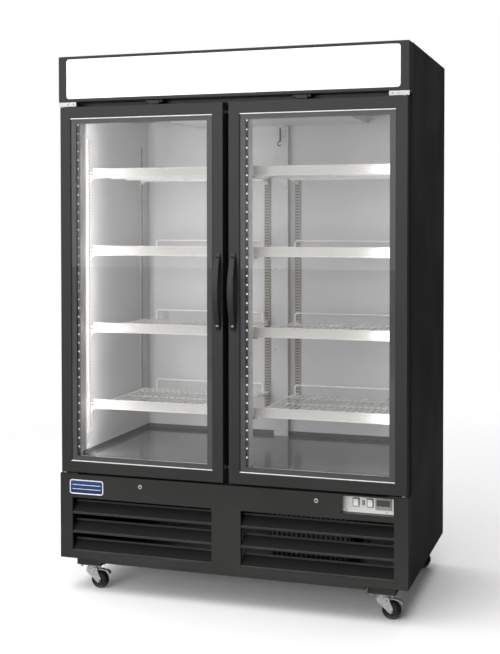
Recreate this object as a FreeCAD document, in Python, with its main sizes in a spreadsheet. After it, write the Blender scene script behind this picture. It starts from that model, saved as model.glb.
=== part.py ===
import FreeCAD, Part
import os
import re
import Sketcher

# Two-door glass door merchandiser on swivel casters, in millimetres.
# +Z is up, the doors face -Y, and the origin is under the middle of the whole object on the floor.
# Heights in the cells are above the cabinet's bottom edge, and depths are behind the front plane of
# the header, the doors and the base panel, unless the note says otherwise.

SIZES = [
    ("cabinet_width", 1372, "outside width of the cabinet"),
    ("cabinet_depth", 810, "front plane to back panel"),
    ("cabinet_height", 1951, "bottom edge to top panel"),
    ("caster_height", 131, "floor to the cabinet's bottom edge"),
    ("handle_reach", 40, "how far a handle's bow stands in front of the front plane"),
    ("skin", 1.5, "outer sheet steel"),
    ("lining", 1, "inner sheet steel"),
    ("wall", 60, "outside of the cabinet to the inside wall"),
    ("face_depth", 62, "front plane to the face that the gaskets meet"),
    ("frame_depth", 18, "front to back of the breaker frame"),
    ("base_height", 329, "height of the base panel"),
    ("header_bottom", 1775, "underside of the header"),
    ("floor_level", 388, "inside floor"),
    ("ceiling_level", 1757, "inside ceiling"),
    ("back_depth", 745, "inside face of the back wall"),
    ("frame_top_low", 1722, "underside of the breaker frame's top bar"),
    ("mullion_half", 70, "half the width of the centre mullion"),
    ("mullion_depth", 50, "front to back of the centre mullion"),
    ("roof_level", 1890, "underside of the roof insulation"),
    ("coil_bay_half", 380, "half the width of the evaporator bay"),
    ("coil_bay_front", 400, "front of the evaporator bay"),
    ("window_half", 653, "half the width of the header's lit window"),
    ("window_low", 1788, "bottom of the lit window"),
    ("window_high", 1940, "top of the lit window"),
    ("window_corner", 11, "corner radius of the lit window"),
    ("acrylic", 3, "thickness of the lit panel"),
    ("door_low", 337, "bottom of a door"),
    ("door_high", 1756, "top of a door"),
    ("door_edge", 6, "side of the cabinet to the edge of a door"),
    ("door_middle", 11, "half the gap between the doors"),
    ("door_depth", 46, "front to back of a door frame"),
    ("rail", 44, "face width of a door's rails and stiles"),
    ("section", 3, "wall of the door's extrusion"),
    ("pane_grip", 12, "how far the glass sits inside the extrusion"),
    ("pane", 4, "thickness of one pane"),
    ("unit_depth", 28, "front to back of the sealed glass unit"),
    ("spacer", 12, "width of the bar that holds the panes apart"),
    ("gasket_inset", 14, "edge of a door to the gasket"),
    ("gasket_width", 20, "face width of the gasket"),
    ("gasket_clear", 0.3, "gasket to the breaker frame"),
    ("pivot_edge", 18, "side of the cabinet to a door's pivot line"),
    ("pivot_depth", 12, "front plane to a door's pivot line"),
    ("pivot_pin", 5, "radius of a hinge pin"),
    ("pivot_fit", 0.08, "radial clearance of a hinge pin"),
    ("pivot_reach", 12, "how far a hinge pin enters the door"),
    ("bracket_gauge", 4, "thickness of a hinge bracket"),
    ("bracket_width", 75, "width of a hinge bracket"),
    ("handle_centre", 30, "middle of the object to a handle's centre line"),
    ("handle_low", 905, "bottom of a handle"),
    ("handle_high", 1200, "top of a handle"),
    ("handle_width", 22, "face width of a handle"),
    ("handle_foot", 34, "height of a handle's foot"),
    ("handle_bar", 12, "depth of the grip at its middle"),
    ("louver_inner", 57, "middle of the object to a louver opening"),
    ("louver_outer", 635, "middle of the object to a louver opening's far end"),
    ("louver_low", 25, "bottom of the louver openings"),
    ("louver_high", 239, "top of the louver openings"),
    ("louver_pitch", 74.5, "front lip of one blade to the next"),
    ("louver_lip", 9, "height of a blade's front lip"),
    ("louver_rise", 50, "height of a blade's top edge above its lip"),
    ("louver_back", 34, "how far a blade runs back"),
    ("louver_gauge", 1.5, "thickness of a blade"),
    ("recess_low", 259, "bottom of the control recess"),
    ("recess_high", 324, "top of the control recess"),
    ("recess_inner", 438, "middle of the object to the control recess"),
    ("recess_outer", 634, "far side of the control recess"),
    ("recess_depth", 34, "front plane to the control plate"),
    ("badge_left", 645, "middle of the object to the name plate's left end"),
    ("badge_right", 502, "middle of the object to the name plate's right end"),
    ("badge_low", 253, "bottom of the name plate"),
    ("badge_high", 309, "top of the name plate"),
    ("badge_gauge", 2, "thickness of the name plate"),
    ("lock_across", 348, "middle of the object to a lock"),
    ("lock_up", 298, "height of the locks"),
    ("lock_radius", 8.5, "radius of a lock's bezel"),
    ("plug_radius", 5.6, "radius of a lock's plug"),
    ("plug_fit", 0.3, "radial clearance of a lock's plug"),
    ("rocker_width", 19, "width of a rocker switch"),
    ("rocker_height", 26, "height of a rocker switch"),
    ("rocker_up", 297, "height of the rocker switches' centres"),
    ("rocker_rise", 3, "how far a rocker's raised end stands off its pressed end"),
    ("rocker_gauge", 3, "thickness of a rocker"),
    ("rocker_pin", 1.2, "radius of the pin that a rocker tilts on"),
    ("rocker_pivot", 1.5, "control plate to a rocker's pin"),
    ("lamp_rocker_at", 489, "middle of the object to the lamp switch"),
    ("power_rocker_at", 541, "middle of the object to the power switch"),
    ("pilot_at", 516, "middle of the object to the pilot lamp"),
    ("pilot_width", 9, "width of the pilot lamp"),
    ("pilot_height", 18, "height of the pilot lamp"),
    ("thermostat_in", 560, "middle of the object to the thermostat"),
    ("thermostat_out", 620, "far side of the thermostat"),
    ("thermostat_low", 275, "bottom of the thermostat"),
    ("thermostat_high", 315, "top of the thermostat"),
    ("control_gauge", 2, "thickness of the control plate"),
    ("control_stand", 5, "how far the thermostat and the pilot lamp stand off their plate"),
    ("strip_in", 68, "middle of the object to the near end of a shelf"),
    ("strip_out", 614, "middle of the object to the far end of a shelf's price strip"),
    ("deck_out", 606, "middle of the object to the far side of a shelf's deck"),
    ("strip_depth", 130, "front plane to a shelf's price strip"),
    ("strip_gauge", 5, "front to back of a price strip"),
    ("strip_height", 39, "height of a price strip"),
    ("deck_back", 665, "front plane to the back of a shelf's deck"),
    ("deck_drop", 26, "top of a price strip to the deck's top"),
    ("deck_gauge", 4, "thickness of a shelf's deck"),
    ("deck_rim", 6, "solid border of a shelf's deck"),
    ("deck_pitch", 25, "one wire gap to the next"),
    ("deck_gap", 20, "width of the gap between two wires"),
    ("fence_height", 42, "height of a shelf's rear fence above its deck"),
    ("fence_wire", 5, "thickness of a fence's wire"),
    ("fence_in", 78, "middle of the object to the near end of a fence"),
    ("fence_out", 556, "middle of the object to the far end of a fence"),
    ("lowest_shelf", 606, "height of the lowest price strip's top edge"),
    ("shelf_pitch", 306, "one shelf to the next"),
    ("standard_depth", 8, "how far a shelf standard stands off its wall"),
    ("standard_width", 20, "width of a shelf standard on a side wall"),
    ("standard_front", 131, "front plane to the front standards' centre lines"),
    ("standard_rear", 650, "front plane to the rear side standards' centre lines"),
    ("standard_low", 470, "bottom of the shelf standards"),
    ("standard_high", 1640, "top of the side shelf standards"),
    ("rear_standard_high", 1500, "top of the back wall's shelf standards"),
    ("rear_standard_at", 68, "middle of the object to a back wall standard's centre line"),
    ("inner_standard_at", 50, "middle of the object to a mullion standard's centre line"),
    ("clip_clear", 0.3, "shelf clip to the standard that it hooks on"),
    ("clip_width", 12, "width of a shelf clip"),
    ("clip_height", 13, "height of a shelf clip"),
    ("clip_lap", 10, "how far a clip reaches under a shelf's deck"),
    ("inner_clip_turn", 16, "how far an inner clip reaches back before it turns"),
    ("badge_corner", 8, "corner radius of the name plate"),
    ("keyway", 0.6, "half the width of a key slot"),
    ("keyway_half", 3.5, "half the height of a key slot"),
    ("bezel_stand", 1.5, "how far a lock's bezel stands off the panel"),
    ("bezel_length", 8, "front to back of a lock's bezel"),
    ("plug_stand", 1.2, "how far a lock's plug stands off the panel"),
    ("plug_length", 20, "front to back of a lock's plug"),
    ("pivot_stop", 2, "front plane to the front edge of a hinge bracket"),
    ("strip_bar", 11, "width of an upright light bar"),
    ("strip_stand", 3.5, "front to back of an upright light bar"),
    ("tube_front", 36, "front plane to the header's light bar"),
    ("tube_bar", 14, "height of the header's light bar"),
    ("tube_inset", 40, "end of the lit window to the header's light bar"),
    ("window_lap", 8, "how far the lit panel reaches behind the window's edges"),
    ("rear_standard_half", 12, "half the width of a back wall standard"),
    ("panel_gap", 2, "top of the base panel to the back panel and the insulation"),
    ("duct_half", 31, "half the width of the rear air duct"),
    ("duct_depth", 25, "how far the rear air duct stands off the back wall"),
    ("cover_low", 1725, "underside of the evaporator cover"),
    ("caster_across", 582, "middle of the object to a caster's swivel line"),
    ("caster_inset", 76, "front plane, or back panel, to a caster's swivel line"),
    ("block_width", 103, "width of a caster's mounting block"),
    ("block_depth", 80, "front to back of a caster's mounting block"),
    ("plate_level", 96, "top of a caster's fixed plate above the floor"),
    ("plate_gauge", 3, "thickness of a caster's fixed plate"),
    ("wheel_radius", 34, "radius of a caster's wheel"),
    ("wheel_width", 24, "width of a caster's wheel"),
    ("wheel_trail", 30, "swivel line to the wheel's axle"),
    ("axle_radius", 4, "radius of a caster's axle"),
    ("axle_fit", 0.08, "radial clearance of a caster's axle"),
    ("kingpin_radius", 5, "radius of a caster's kingpin"),
    ("swivel_clear", 0.3, "clearance round the kingpin and under the fixed plate"),
    ("yoke_gauge", 3, "thickness of a fork's legs"),
    ("yoke_level", 80, "top of a fork's crown above the floor"),
    ("yoke_front", 22, "how far a fork reaches ahead of its swivel line"),
    ("yoke_behind", 24, "how far a fork's crown reaches behind its swivel line"),
    ("yoke_crown", 4, "thickness of a fork's crown"),
    ("yoke_side", 2.5, "wheel to the inside of a fork's leg"),
    ("race_radius", 22, "radius of the bearing cup on a fork"),
    ("fixed_across", 46, "half the width of a caster's fixed plate"),
    ("fixed_deep", 32, "half the depth of a caster's fixed plate"),
    ("nut_radius", 8, "radius of a kingpin's nut"),
    ("kingpin_foot", 70, "bottom of a kingpin above the floor"),
    ("hub_radius", 10, "radius of a wheel's hub"),
    ("hub_stand", 1, "how far a wheel's hub stands out of its tyre"),
    ("tyre_edge", 25, "radius where a wheel's tyre begins"),
    ("web_inset", 3, "how far a wheel's web is set in from its tyre"),
    ("tread_edge", 2.5, "how far a tyre's edge is turned in"),
    ("tread_shoulder", 4, "how wide a tyre's turned edge is"),
    ("brake_at", 14, "swivel line to a brake pedal's pin"),
    ("brake_level", 71, "height of a brake pedal's pin above the floor"),
    ("brake_pin", 2, "radius of a brake pedal's pin"),
    ("brake_fit", 0.08, "radial clearance of a brake pedal's pin"),
    ("brake_curl", 4.4, "radius of the curl round a brake pedal's pin"),
    ("pedal_width", 22, "width of a brake pedal"),
    ("grille_inset", 17, "how far the rear grille is set in from the back panel"),
    ("slot_in", 60, "middle of the object to the rear grille's slots"),
    ("slot_out", 520, "far end of the rear grille's slots"),
    ("slot_low", 110, "bottom of the lowest slot"),
    ("slot_height", 8, "height of a slot"),
    ("slot_pitch", 25, "one slot to the next"),
    ("fan_across", 300, "middle of the object to the condenser fan's axis"),
    ("fan_up", 152, "height of the condenser fan's axis"),
    ("fan_depth", 190, "front plane to the condenser fan"),
    ("fan_radius", 105, "radius of the condenser fan"),
    ("fan_hub", 22, "radius of the condenser fan's hub"),
    ("fan_length", 24, "length of the condenser fan's hub"),
    ("cold_fan_up", 1822, "height of the evaporator fan's axis"),
    ("cold_fan_depth", 500, "front plane to the evaporator fan"),
    ("cold_fan_radius", 52, "radius of the evaporator fan"),
    ("cold_fan_hub", 14, "radius of the evaporator fan's hub"),
    ("cold_fan_length", 20, "length of the evaporator fan's hub"),
    ("shaft_radius", 3, "radius of a fan motor's shaft"),
    ("shaft_fit", 0.08, "radial clearance of a fan motor's shaft"),
    ("fan_clear", 0.3, "a fan's hub to its motor"),
    ("blade_gauge", 2, "thickness of a fan blade"),
    ("motor_radius", 38, "radius of the condenser fan's motor"),
    ("motor_length", 60, "length of the condenser fan's motor"),
    ("cold_motor_radius", 24, "radius of the evaporator fan's motor"),
    ("cold_motor_length", 40, "length of the evaporator fan's motor"),
    ("post_half", 8, "half the width of a fan motor's post"),
    ("tube_radius", 5, "radius of the coils' tube ends"),
    ("tube_reach", 14, "how far a tube end stands out of its coil"),
    ("cold_coil_half", 300, "half the width of the evaporator coil"),
    ("cold_coil_front", 580, "front plane to the evaporator coil"),
    ("cold_coil_back", 700, "back of the evaporator coil"),
    ("cold_coil_low", 1772, "bottom of the evaporator coil"),
    ("cold_coil_high", 1872, "top of the evaporator coil"),
    ("coil_in", 150, "middle of the object to the condenser coil"),
    ("coil_out", 450, "far end of the condenser coil"),
    ("coil_front", 100, "front plane to the condenser coil"),
    ("coil_back", 160, "back of the condenser coil"),
    ("coil_low", 36, "bottom of the condenser coil"),
    ("coil_high", 266, "top of the condenser coil"),
    ("sensor_at", 3, "middle of the object to the thermostat bulb's stem"),
    ("sensor_depth", 700, "front plane to the thermostat bulb"),
    ("sensor_drop", 70, "length of the thermostat bulb's stem"),
    ("sensor_tube", 2.2, "radius of the thermostat bulb's tube"),
    ("sensor_sleeve", 3.4, "radius of the sleeve round the tube"),
    ("hook_radius", 9, "radius of the hook at the end of the tube"),
    ("sleeve_top", 14, "top of the sleeve below the evaporator cover"),
    ("inlet_across", 560, "middle of the object to the power inlet"),
    ("inlet_up", 80, "height of the power inlet"),
    ("inlet_bore", 5, "radius of the hole that the supply cord would pass through"),
    ("inlet_flange", 20, "radius of the power inlet's flange"),
    ("inlet_collar", 11, "radius of the power inlet's collar"),
    ("inlet_reach", 15, "how far the power inlet's collar stands off the grille"),
    ("compressor_across", 330, "middle of the object to the compressor"),
    ("compressor_depth", 470, "front plane to the compressor"),
    ("compressor_lift", 18, "underside of the compressor's shell above the deck"),
    ("foot_gauge", 6, "thickness of the compressor's foot plate"),
    ("foot_across", 105, "half the width of the compressor's foot plate"),
    ("foot_deep", 70, "half the depth of the compressor's foot plate"),
    ("grommet_radius", 11, "radius of the rubber feet under the compressor"),
    ("grommet_inset", 15, "edge of the foot plate to the rubber feet"),
    ("pan_out", 500, "middle of the object to the drain pan's far side"),
    ("pan_in", 200, "middle of the object to the drain pan's near side"),
    ("pan_front", 500, "front plane to the drain pan"),
    ("pan_back", 740, "back of the drain pan"),
    ("pan_lift", 4, "underside of the drain pan above the deck"),
    ("pan_height", 50, "height of the drain pan"),
    ("pan_wall", 2, "thickness of the drain pan"),
    ("compressor_radius", 92, "radius of the compressor's shell"),
    ("compressor_height", 195, "height of the compressor's shell"),
]

doc = FreeCAD.newDocument("glass_door_merchandiser")
sheet = doc.addObject("Spreadsheet::Sheet", "Sizes")
for row, (alias, value, note) in enumerate(SIZES, start=1):
    sheet.set(f"A{row}", str(value))
    sheet.setAlias(f"A{row}", alias)
    sheet.set(f"B{row}", note)
doc.recompute()

NODES = []  # the sub-parts that are written out, in order

SIDE = "cabinet_width / 2"
FRONT = "(handle_reach - cabinet_depth) / 2"
INNER_SIDE = f"{SIDE} - wall"
DOOR_OUT = f"{SIDE} - door_edge"


def named(text):
    """An expression with each alias written as the sheet's own cell."""
    return re.sub(r"[a-z_]{2,}", lambda word: f"Sizes.{word[0]}", text)


def value_of(text):
    return float(sheet.evalExpression(named(text)))


def deep(text):
    """A distance behind the front plane, as a place along Y."""
    return f"{FRONT} + ({text})"


def high(text):
    """A height above the cabinet's bottom edge, as a place along Z."""
    return f"caster_height + ({text})"


def across(side, near, far):
    """Two distances from the middle on one side, as a low and a high place along X."""
    return (near, far) if side > 0 else (f"-({far})", f"-({near})")


def depths(near, far):
    return deep(near), deep(far)


def heights(low, top):
    return high(low), high(top)


def bind(thing, prop, text):
    thing.setExpression(prop, named(text))


def put(thing, x="0", y="0", z="0"):
    """Bind where a sub-part stands."""
    for axis, text in (("x", x), ("y", y), ("z", z)):
        bind(thing, f"Placement.Base.{axis}", text)
    return thing


def block(name, x, y, z):
    """A plain block between a low and a high plane on each axis."""
    thing = doc.addObject("Part::Box", name)
    for prop, (low, top) in (("Length", x), ("Width", y), ("Height", z)):
        bind(thing, prop, f"({top}) - ({low})")
    return put(thing, x[0], y[0], z[0])


TURNS = {
    "x": FreeCAD.Rotation(FreeCAD.Vector(0, 1, 0), 90),
    "y": FreeCAD.Rotation(FreeCAD.Vector(1, 0, 0), -90),
    "z": FreeCAD.Rotation(),
}


def rod(name, along, radius, length, x, y, z):
    """A cylinder that starts at a point and runs along +X, +Y or +Z."""
    thing = doc.addObject("Part::Cylinder", name)
    bind(thing, "Radius", radius)
    bind(thing, "Height", length)
    thing.Placement.Rotation = TURNS[along]
    return put(thing, x, y, z)


def cut(name, base, tool):
    thing = doc.addObject("Part::Cut", name)
    thing.Base = base
    thing.Tool = tool
    return thing


def fuse(name, shapes):
    thing = doc.addObject("Part::MultiFuse", name)
    thing.Shapes = shapes
    return thing


def node(label, things):
    """One named sub-part. A list is a group of separate solids."""
    if isinstance(things, list):
        thing = doc.addObject("Part::Compound", label)
        thing.Links = things
    else:
        thing = things
    thing.Label = label
    NODES.append(thing)
    return thing


def new_body(name, x="0", y="0", z="0"):
    return put(doc.addObject("PartDesign::Body", name), x, y, z)


def new_sketch(body, role):
    """A sketch on one of the body's own origin planes."""
    sketch = body.newObject("Sketcher::SketchObject", f"{body.Name}_sketch")
    plane = next(item for item in body.Origin.OriginFeatures if item.Role == role)
    sketch.AttachmentSupport = [(plane, "")]
    sketch.MapMode = "FlatFace"
    return sketch


def pin_point(sketch, edge, end, point):
    """Hold one end of an edge at a place given by two expressions."""
    for kind, text in zip(("DistanceX", "DistanceY"), point):
        rule = sketch.addConstraint(Sketcher.Constraint(kind, -1, 1, edge, end, value_of(text)))
        sketch.renameConstraint(rule, f"{kind}_{edge}_{end}")
        bind(sketch, f"Constraints.{kind}_{edge}_{end}", text)


def outline(sketch, points):
    """A closed outline of straight edges through the points."""
    first = sketch.GeometryCount
    places = [FreeCAD.Vector(value_of(across_), value_of(up), 0) for across_, up in points]
    for start, end in zip(places, places[1:] + places[:1]):
        sketch.addGeometry(Part.LineSegment(start, end), False)
    last = sketch.GeometryCount - 1
    for edge in range(first, last + 1):
        follower = edge + 1 if edge < last else first
        sketch.addConstraint(Sketcher.Constraint("Coincident", edge, 2, follower, 1))
    for edge, point in enumerate(points, start=first):
        pin_point(sketch, edge, 1, point)


def rectangle(sketch, low, top):
    outline(sketch, [low, (top[0], low[1]), top, (low[0], top[1])])


def circle(sketch, radius, centre=("0", "0")):
    edge = sketch.GeometryCount
    middle = FreeCAD.Vector(value_of(centre[0]), value_of(centre[1]), 0)
    sketch.addGeometry(Part.Circle(middle, FreeCAD.Vector(0, 0, 1), value_of(radius)), False)
    rule = sketch.addConstraint(Sketcher.Constraint("Radius", edge, value_of(radius)))
    sketch.renameConstraint(rule, f"radius_{edge}")
    bind(sketch, f"Constraints.radius_{edge}", radius)
    pin_point(sketch, edge, 3, centre)


def grow(body, kind, sketch, length, reverse=False, both_ways=False):
    """A Pad or a Pocket of one sketch."""
    feature = body.newObject(f"PartDesign::{kind}", f"{body.Name}_{kind.lower()}")
    feature.Profile = sketch
    bind(feature, "Length", length)
    feature.Reversed = reverse
    feature.Midplane = both_ways
    return feature


def straight_edges(shape, axis):
    """Names of the straight edges that run along one axis."""
    found = []
    for count, edge in enumerate(shape.Edges, start=1):
        if edge.Curve.TypeId == "Part::GeomLine" and abs(getattr(edge.Curve.Direction, axis)) > 0.999:
            found.append((f"Edge{count}", edge))
    return found


def round_edges(body, feature, radius, chosen):
    """A PartDesign fillet of the named edges."""
    fillet = body.newObject("PartDesign::Fillet", f"{body.Name}_fillet")
    fillet.Base = (feature, chosen)
    bind(fillet, "Radius", radius)
    return fillet


# ---- cabinet -------------------------------------------------------------------------------------


def make_outer_panels():
    for side, label in ((-1, "left_side_panel"), (1, "right_side_panel")):
        x = across(side, f"{SIDE} - skin", SIDE)
        node(label, block(f"{label}_sheet", x, depths("face_depth", "cabinet_depth"),
                          heights("0", "cabinet_height")))
    between = (f"-({SIDE} - skin)", f"{SIDE} - skin")
    node("top_panel", block("top_sheet", between, depths("face_depth", "cabinet_depth"),
                            heights("cabinet_height - skin", "cabinet_height")))
    node("back_panel", block("back_sheet", between, depths("cabinet_depth - skin", "cabinet_depth"),
                             heights("base_height + panel_gap", "cabinet_height - skin")))


def make_insulation():
    """Foam slabs between the outer and the inner sheets, round the evaporator bay in the roof."""
    outer = f"{SIDE} - skin"
    inner = f"{INNER_SIDE} + lining"
    full = (f"-({inner})", inner)
    low = "base_height + panel_gap"
    top = "cabinet_height - skin"
    front = "face_depth + frame_depth"
    back = "back_depth + lining"
    above = ("ceiling_level + lining", "roof_level")
    slabs = []
    for side in (-1, 1):
        slabs.append(block("wall_foam", across(side, inner, outer),
                           depths(front, "cabinet_depth - skin"), heights(low, top)))
        slabs.append(block("ceiling_foam", across(side, "coil_bay_half", inner),
                           depths("coil_bay_front", back), heights(*above)))
    slabs.append(block("back_foam", full, depths(back, "cabinet_depth - skin"), heights(low, top)))
    slabs.append(block("floor_foam", full, depths(front, back), heights(low, "floor_level - lining")))
    slabs.append(block("roof_foam", full, depths(front, back), heights("roof_level", top)))
    slabs.append(block("front_foam", full, depths(front, "coil_bay_front"), heights(*above)))
    node("insulation", slabs)


def make_liner():
    """Inner walls, floor and ceiling, with the ceiling left open under the evaporator."""
    front = "face_depth + frame_depth"
    inner = INNER_SIDE
    full = (f"-({inner})", inner)
    sheets = []
    for side in (-1, 1):
        sheets.append(block("side_liner", across(side, inner, f"{inner} + lining"),
                            depths(front, "back_depth + lining"),
                            heights("floor_level - lining", "ceiling_level + lining")))
        sheets.append(block("ceiling_liner", across(side, "coil_bay_half", inner),
                            depths("coil_bay_front", "back_depth"),
                            heights("ceiling_level", "ceiling_level + lining")))
    sheets.append(block("back_liner", full, depths("back_depth", "back_depth + lining"),
                        heights("floor_level", "ceiling_level + lining")))
    sheets.append(block("floor_liner", full, depths(front, "back_depth + lining"),
                        heights("floor_level - lining", "floor_level")))
    sheets.append(block("front_ceiling_liner", full, depths(front, "coil_bay_front"),
                        heights("ceiling_level", "ceiling_level + lining")))
    node("inner_liner", sheets)


def make_front_frame():
    """The breaker frame that the gaskets close on, and the mullion between the two doors."""
    y = depths("face_depth", "face_depth + frame_depth")
    outer = f"{SIDE} - skin"
    full = (f"-({outer})", outer)
    bars = [
        block("top_bar", full, y, heights("frame_top_low", "header_bottom + 1")),
        block("bottom_bar", full, y, heights("base_height + panel_gap", "floor_level")),
    ]
    for side in (-1, 1):
        bars.append(block("side_bar", across(side, INNER_SIDE, outer), y,
                          heights("floor_level", "frame_top_low")))
    bars.append(block("mullion", ("-mullion_half", "mullion_half"),
                      depths("face_depth", "face_depth + mullion_depth"),
                      heights("floor_level", "frame_top_low")))
    node("front_frame", bars)


def make_led_strips():
    """Upright light bars just inside each gasket, and the bar that lights the header."""
    bars = []
    wall_bar = (f"{INNER_SIDE} + lining", f"{INNER_SIDE} + lining + strip_bar")
    for side in (-1, 1):
        for near, far in (("mullion_half - strip_bar", "mullion_half"), wall_bar):
            bars.append(block("upright_strip", across(side, near, far),
                              depths("face_depth - strip_stand", "face_depth"),
                              heights("floor_level + 20", "frame_top_low - 12")))
    roof = "cabinet_height - skin"
    bars.append(block("header_strip", ("tube_inset - window_half", "window_half - tube_inset"),
                      depths("tube_front", "tube_front + strip_bar"),
                      heights(f"{roof} - tube_bar", roof)))
    node("led_strips", bars)


def make_header():
    """A folded sheet box across the top, open at its back, with a window for the lit panel."""
    body = new_body("header_box", "0", FRONT, high("header_bottom"))
    tall = "cabinet_height - header_bottom"
    shell = new_sketch(body, "XZ_Plane")
    rectangle(shell, (f"-{SIDE}", "0"), (SIDE, tall))
    grow(body, "Pad", shell, "face_depth", reverse=True)
    doc.recompute()
    cavity = new_sketch(body, "XZ_Plane")
    bind(cavity, "AttachmentOffset.Base.z", "-skin")
    rectangle(cavity, (f"-({SIDE} - skin)", "skin"), (f"{SIDE} - skin", f"{tall} - skin"))
    grow(body, "Pocket", cavity, "face_depth")
    window = new_sketch(body, "XZ_Plane")
    rectangle(window, ("-window_half", "window_low - header_bottom"),
              ("window_half", "window_high - header_bottom"))
    opening = grow(body, "Pocket", window, "skin")
    doc.recompute()
    corners = [name for name, edge in straight_edges(opening.Shape, "y")
               if abs(abs(edge.BoundBox.XMin) - value_of("window_half")) < 1]
    round_edges(body, opening, "window_corner", corners)
    node("header_housing", body)

    panel = new_body("lit_panel", "0", deep("skin"), "0")
    face = new_sketch(panel, "XZ_Plane")
    rectangle(face, ("-window_half - window_lap", high("window_low - window_lap")),
              ("window_half + window_lap", high("window_high + window_lap")))
    grow(panel, "Pad", face, "acrylic", reverse=True)
    node("header_light_panel", panel)


# ---- base ----------------------------------------------------------------------------------------


def make_base_panel():
    """A folded sheet panel with two louver openings, two lock holes and a recess for the controls."""
    body = new_body("base_front", "0", FRONT, "caster_height")
    shell = new_sketch(body, "XZ_Plane")
    rectangle(shell, (f"-{SIDE}", "0"), (SIDE, "base_height"))
    grow(body, "Pad", shell, "face_depth", reverse=True)
    doc.recompute()
    cavity = new_sketch(body, "XZ_Plane")
    bind(cavity, "AttachmentOffset.Base.z", "-skin")
    rectangle(cavity, (f"-({SIDE} - skin)", "-skin"), (f"{SIDE} - skin", "base_height - skin"))
    grow(body, "Pocket", cavity, "face_depth")
    windows = new_sketch(body, "XZ_Plane")
    rectangle(windows, ("-louver_outer", "louver_low"), ("-louver_inner", "louver_high"))
    rectangle(windows, ("louver_inner", "louver_low"), ("louver_outer", "louver_high"))
    rectangle(windows, ("recess_inner", "recess_low"), ("recess_outer", "recess_high"))
    circle(windows, "lock_radius", ("-lock_across", "lock_up"))
    circle(windows, "lock_radius", ("lock_across", "lock_up"))
    grow(body, "Pocket", windows, "skin")
    x = ("recess_inner", "recess_outer")
    y = depths("skin", "recess_depth")
    above = heights("recess_low + skin", "recess_high")
    recess = [
        block("recess_left", (x[0], f"{x[0]} + skin"), y, above),
        block("recess_right", (f"{x[1]} - skin", x[1]), y, above),
        block("recess_floor", x, y, heights("recess_low", "recess_low + skin")),
        block("recess_back", x, depths("recess_depth", "recess_depth + skin"),
              heights("recess_low", "recess_high")),
    ]
    node("base_panel", [body] + recess)


def make_louvers():
    """Three long sloping blades behind each opening, each with an upright lip at its front."""
    blades = []
    for side in (-1, 1):
        for level in range(3):
            start = "louver_inner" if side > 0 else "-louver_outer"
            foot = f"louver_low + louver_pitch * {level}"
            body = new_body("louver", start, deep("skin + 0.2"), high(foot))
            profile = new_sketch(body, "YZ_Plane")
            outline(profile, [
                ("0", "0"),
                ("louver_gauge", "0"),
                ("louver_gauge", "louver_lip - louver_gauge"),
                ("louver_back", "louver_rise"),
                ("louver_back - louver_gauge", "louver_rise + louver_gauge"),
                ("0", "louver_lip"),
            ])
            grow(body, "Pad", profile, "louver_outer - louver_inner")
            blades.append(body)
    node("louver_blades", blades)


def make_name_plate():
    body = new_body("badge", "-badge_left", FRONT, high("badge_low"))
    face = new_sketch(body, "XZ_Plane")
    rectangle(face, ("0", "0"), ("badge_left - badge_right", "badge_high - badge_low"))
    plate = grow(body, "Pad", face, "badge_gauge")
    doc.recompute()
    round_edges(body, plate, "badge_corner", [name for name, edge in straight_edges(plate.Shape, "y")])
    node("name_plate", body)


def make_controls():
    """The control plate with its thermostat and pilot lamp, and two rocker switches."""
    face = "recess_depth - control_gauge"
    raised = depths(f"{face} - control_stand", face)
    plate = block("plate_sheet", ("recess_inner + 2", "recess_outer - 2"), depths(face, "recess_depth"),
                  heights("recess_low + skin", "recess_high - skin"))
    thermostat = block("thermostat", ("thermostat_in", "thermostat_out"), raised,
                       heights("thermostat_low", "thermostat_high"))
    pilot = block("pilot_lamp", ("pilot_at - pilot_width / 2", "pilot_at + pilot_width / 2"), raised,
                  heights("rocker_up - pilot_height / 2", "rocker_up + pilot_height / 2"))
    node("control_plate", [plate, thermostat, pilot])
    for label, centre in (("lamp_switch", "lamp_rocker_at"), ("power_switch", "power_rocker_at")):
        body = new_body(f"{label}_rocker", f"{centre} - rocker_width / 2",
                        deep(f"{face} - rocker_gauge"), high("rocker_up"))
        profile = new_sketch(body, "YZ_Plane")
        half = "rocker_height / 2"
        outline(profile, [
            ("1", f"-{half}"),
            ("2", "0"),
            ("1 - rocker_rise", half),
            ("1 - rocker_rise - rocker_gauge", half),
            ("1 - rocker_gauge", "0"),
            ("1 - rocker_gauge", f"-{half}"),
        ])
        grow(body, "Pad", profile, "rocker_width")
        pin = rod(f"{label}_pin", "x", "rocker_pin", "rocker_width + 2",
                  f"{centre} - rocker_width / 2 - 1", deep(f"{face} - rocker_pivot"), high("rocker_up"))
        node(label, fuse(f"{label}_with_pin", [body, pin]))


def make_locks():
    """A bezel ring in the panel at each lock, and a plug that turns inside it."""
    bezels = []
    for side, label in ((-1, "left_lock_plug"), (1, "right_lock_plug")):
        x = "lock_across" if side > 0 else "-lock_across"
        up = high("lock_up")
        ring = rod("bezel_ring", "y", "lock_radius", "bezel_length", x, deep("-bezel_stand"), up)
        bore = rod("bezel_bore", "y", "plug_radius + plug_fit", "2 * bezel_length", x,
                   deep("-bezel_length"), up)
        bezels.append(cut("lock_bezel", ring, bore))
        plug = rod(f"{label}_barrel", "y", "plug_radius", "plug_length", x, deep("-plug_stand"), up)
        slot = block(f"{label}_keyway", (f"{x} - keyway", f"{x} + keyway"),
                     depths("-bezel_length", "bezel_length / 2"),
                     heights("lock_up - keyway_half", "lock_up + keyway_half"))
        node(label, cut(f"{label}_cut", plug, slot))
    node("lock_bezels", bezels)


# ---- doors ---------------------------------------------------------------------------------------


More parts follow.
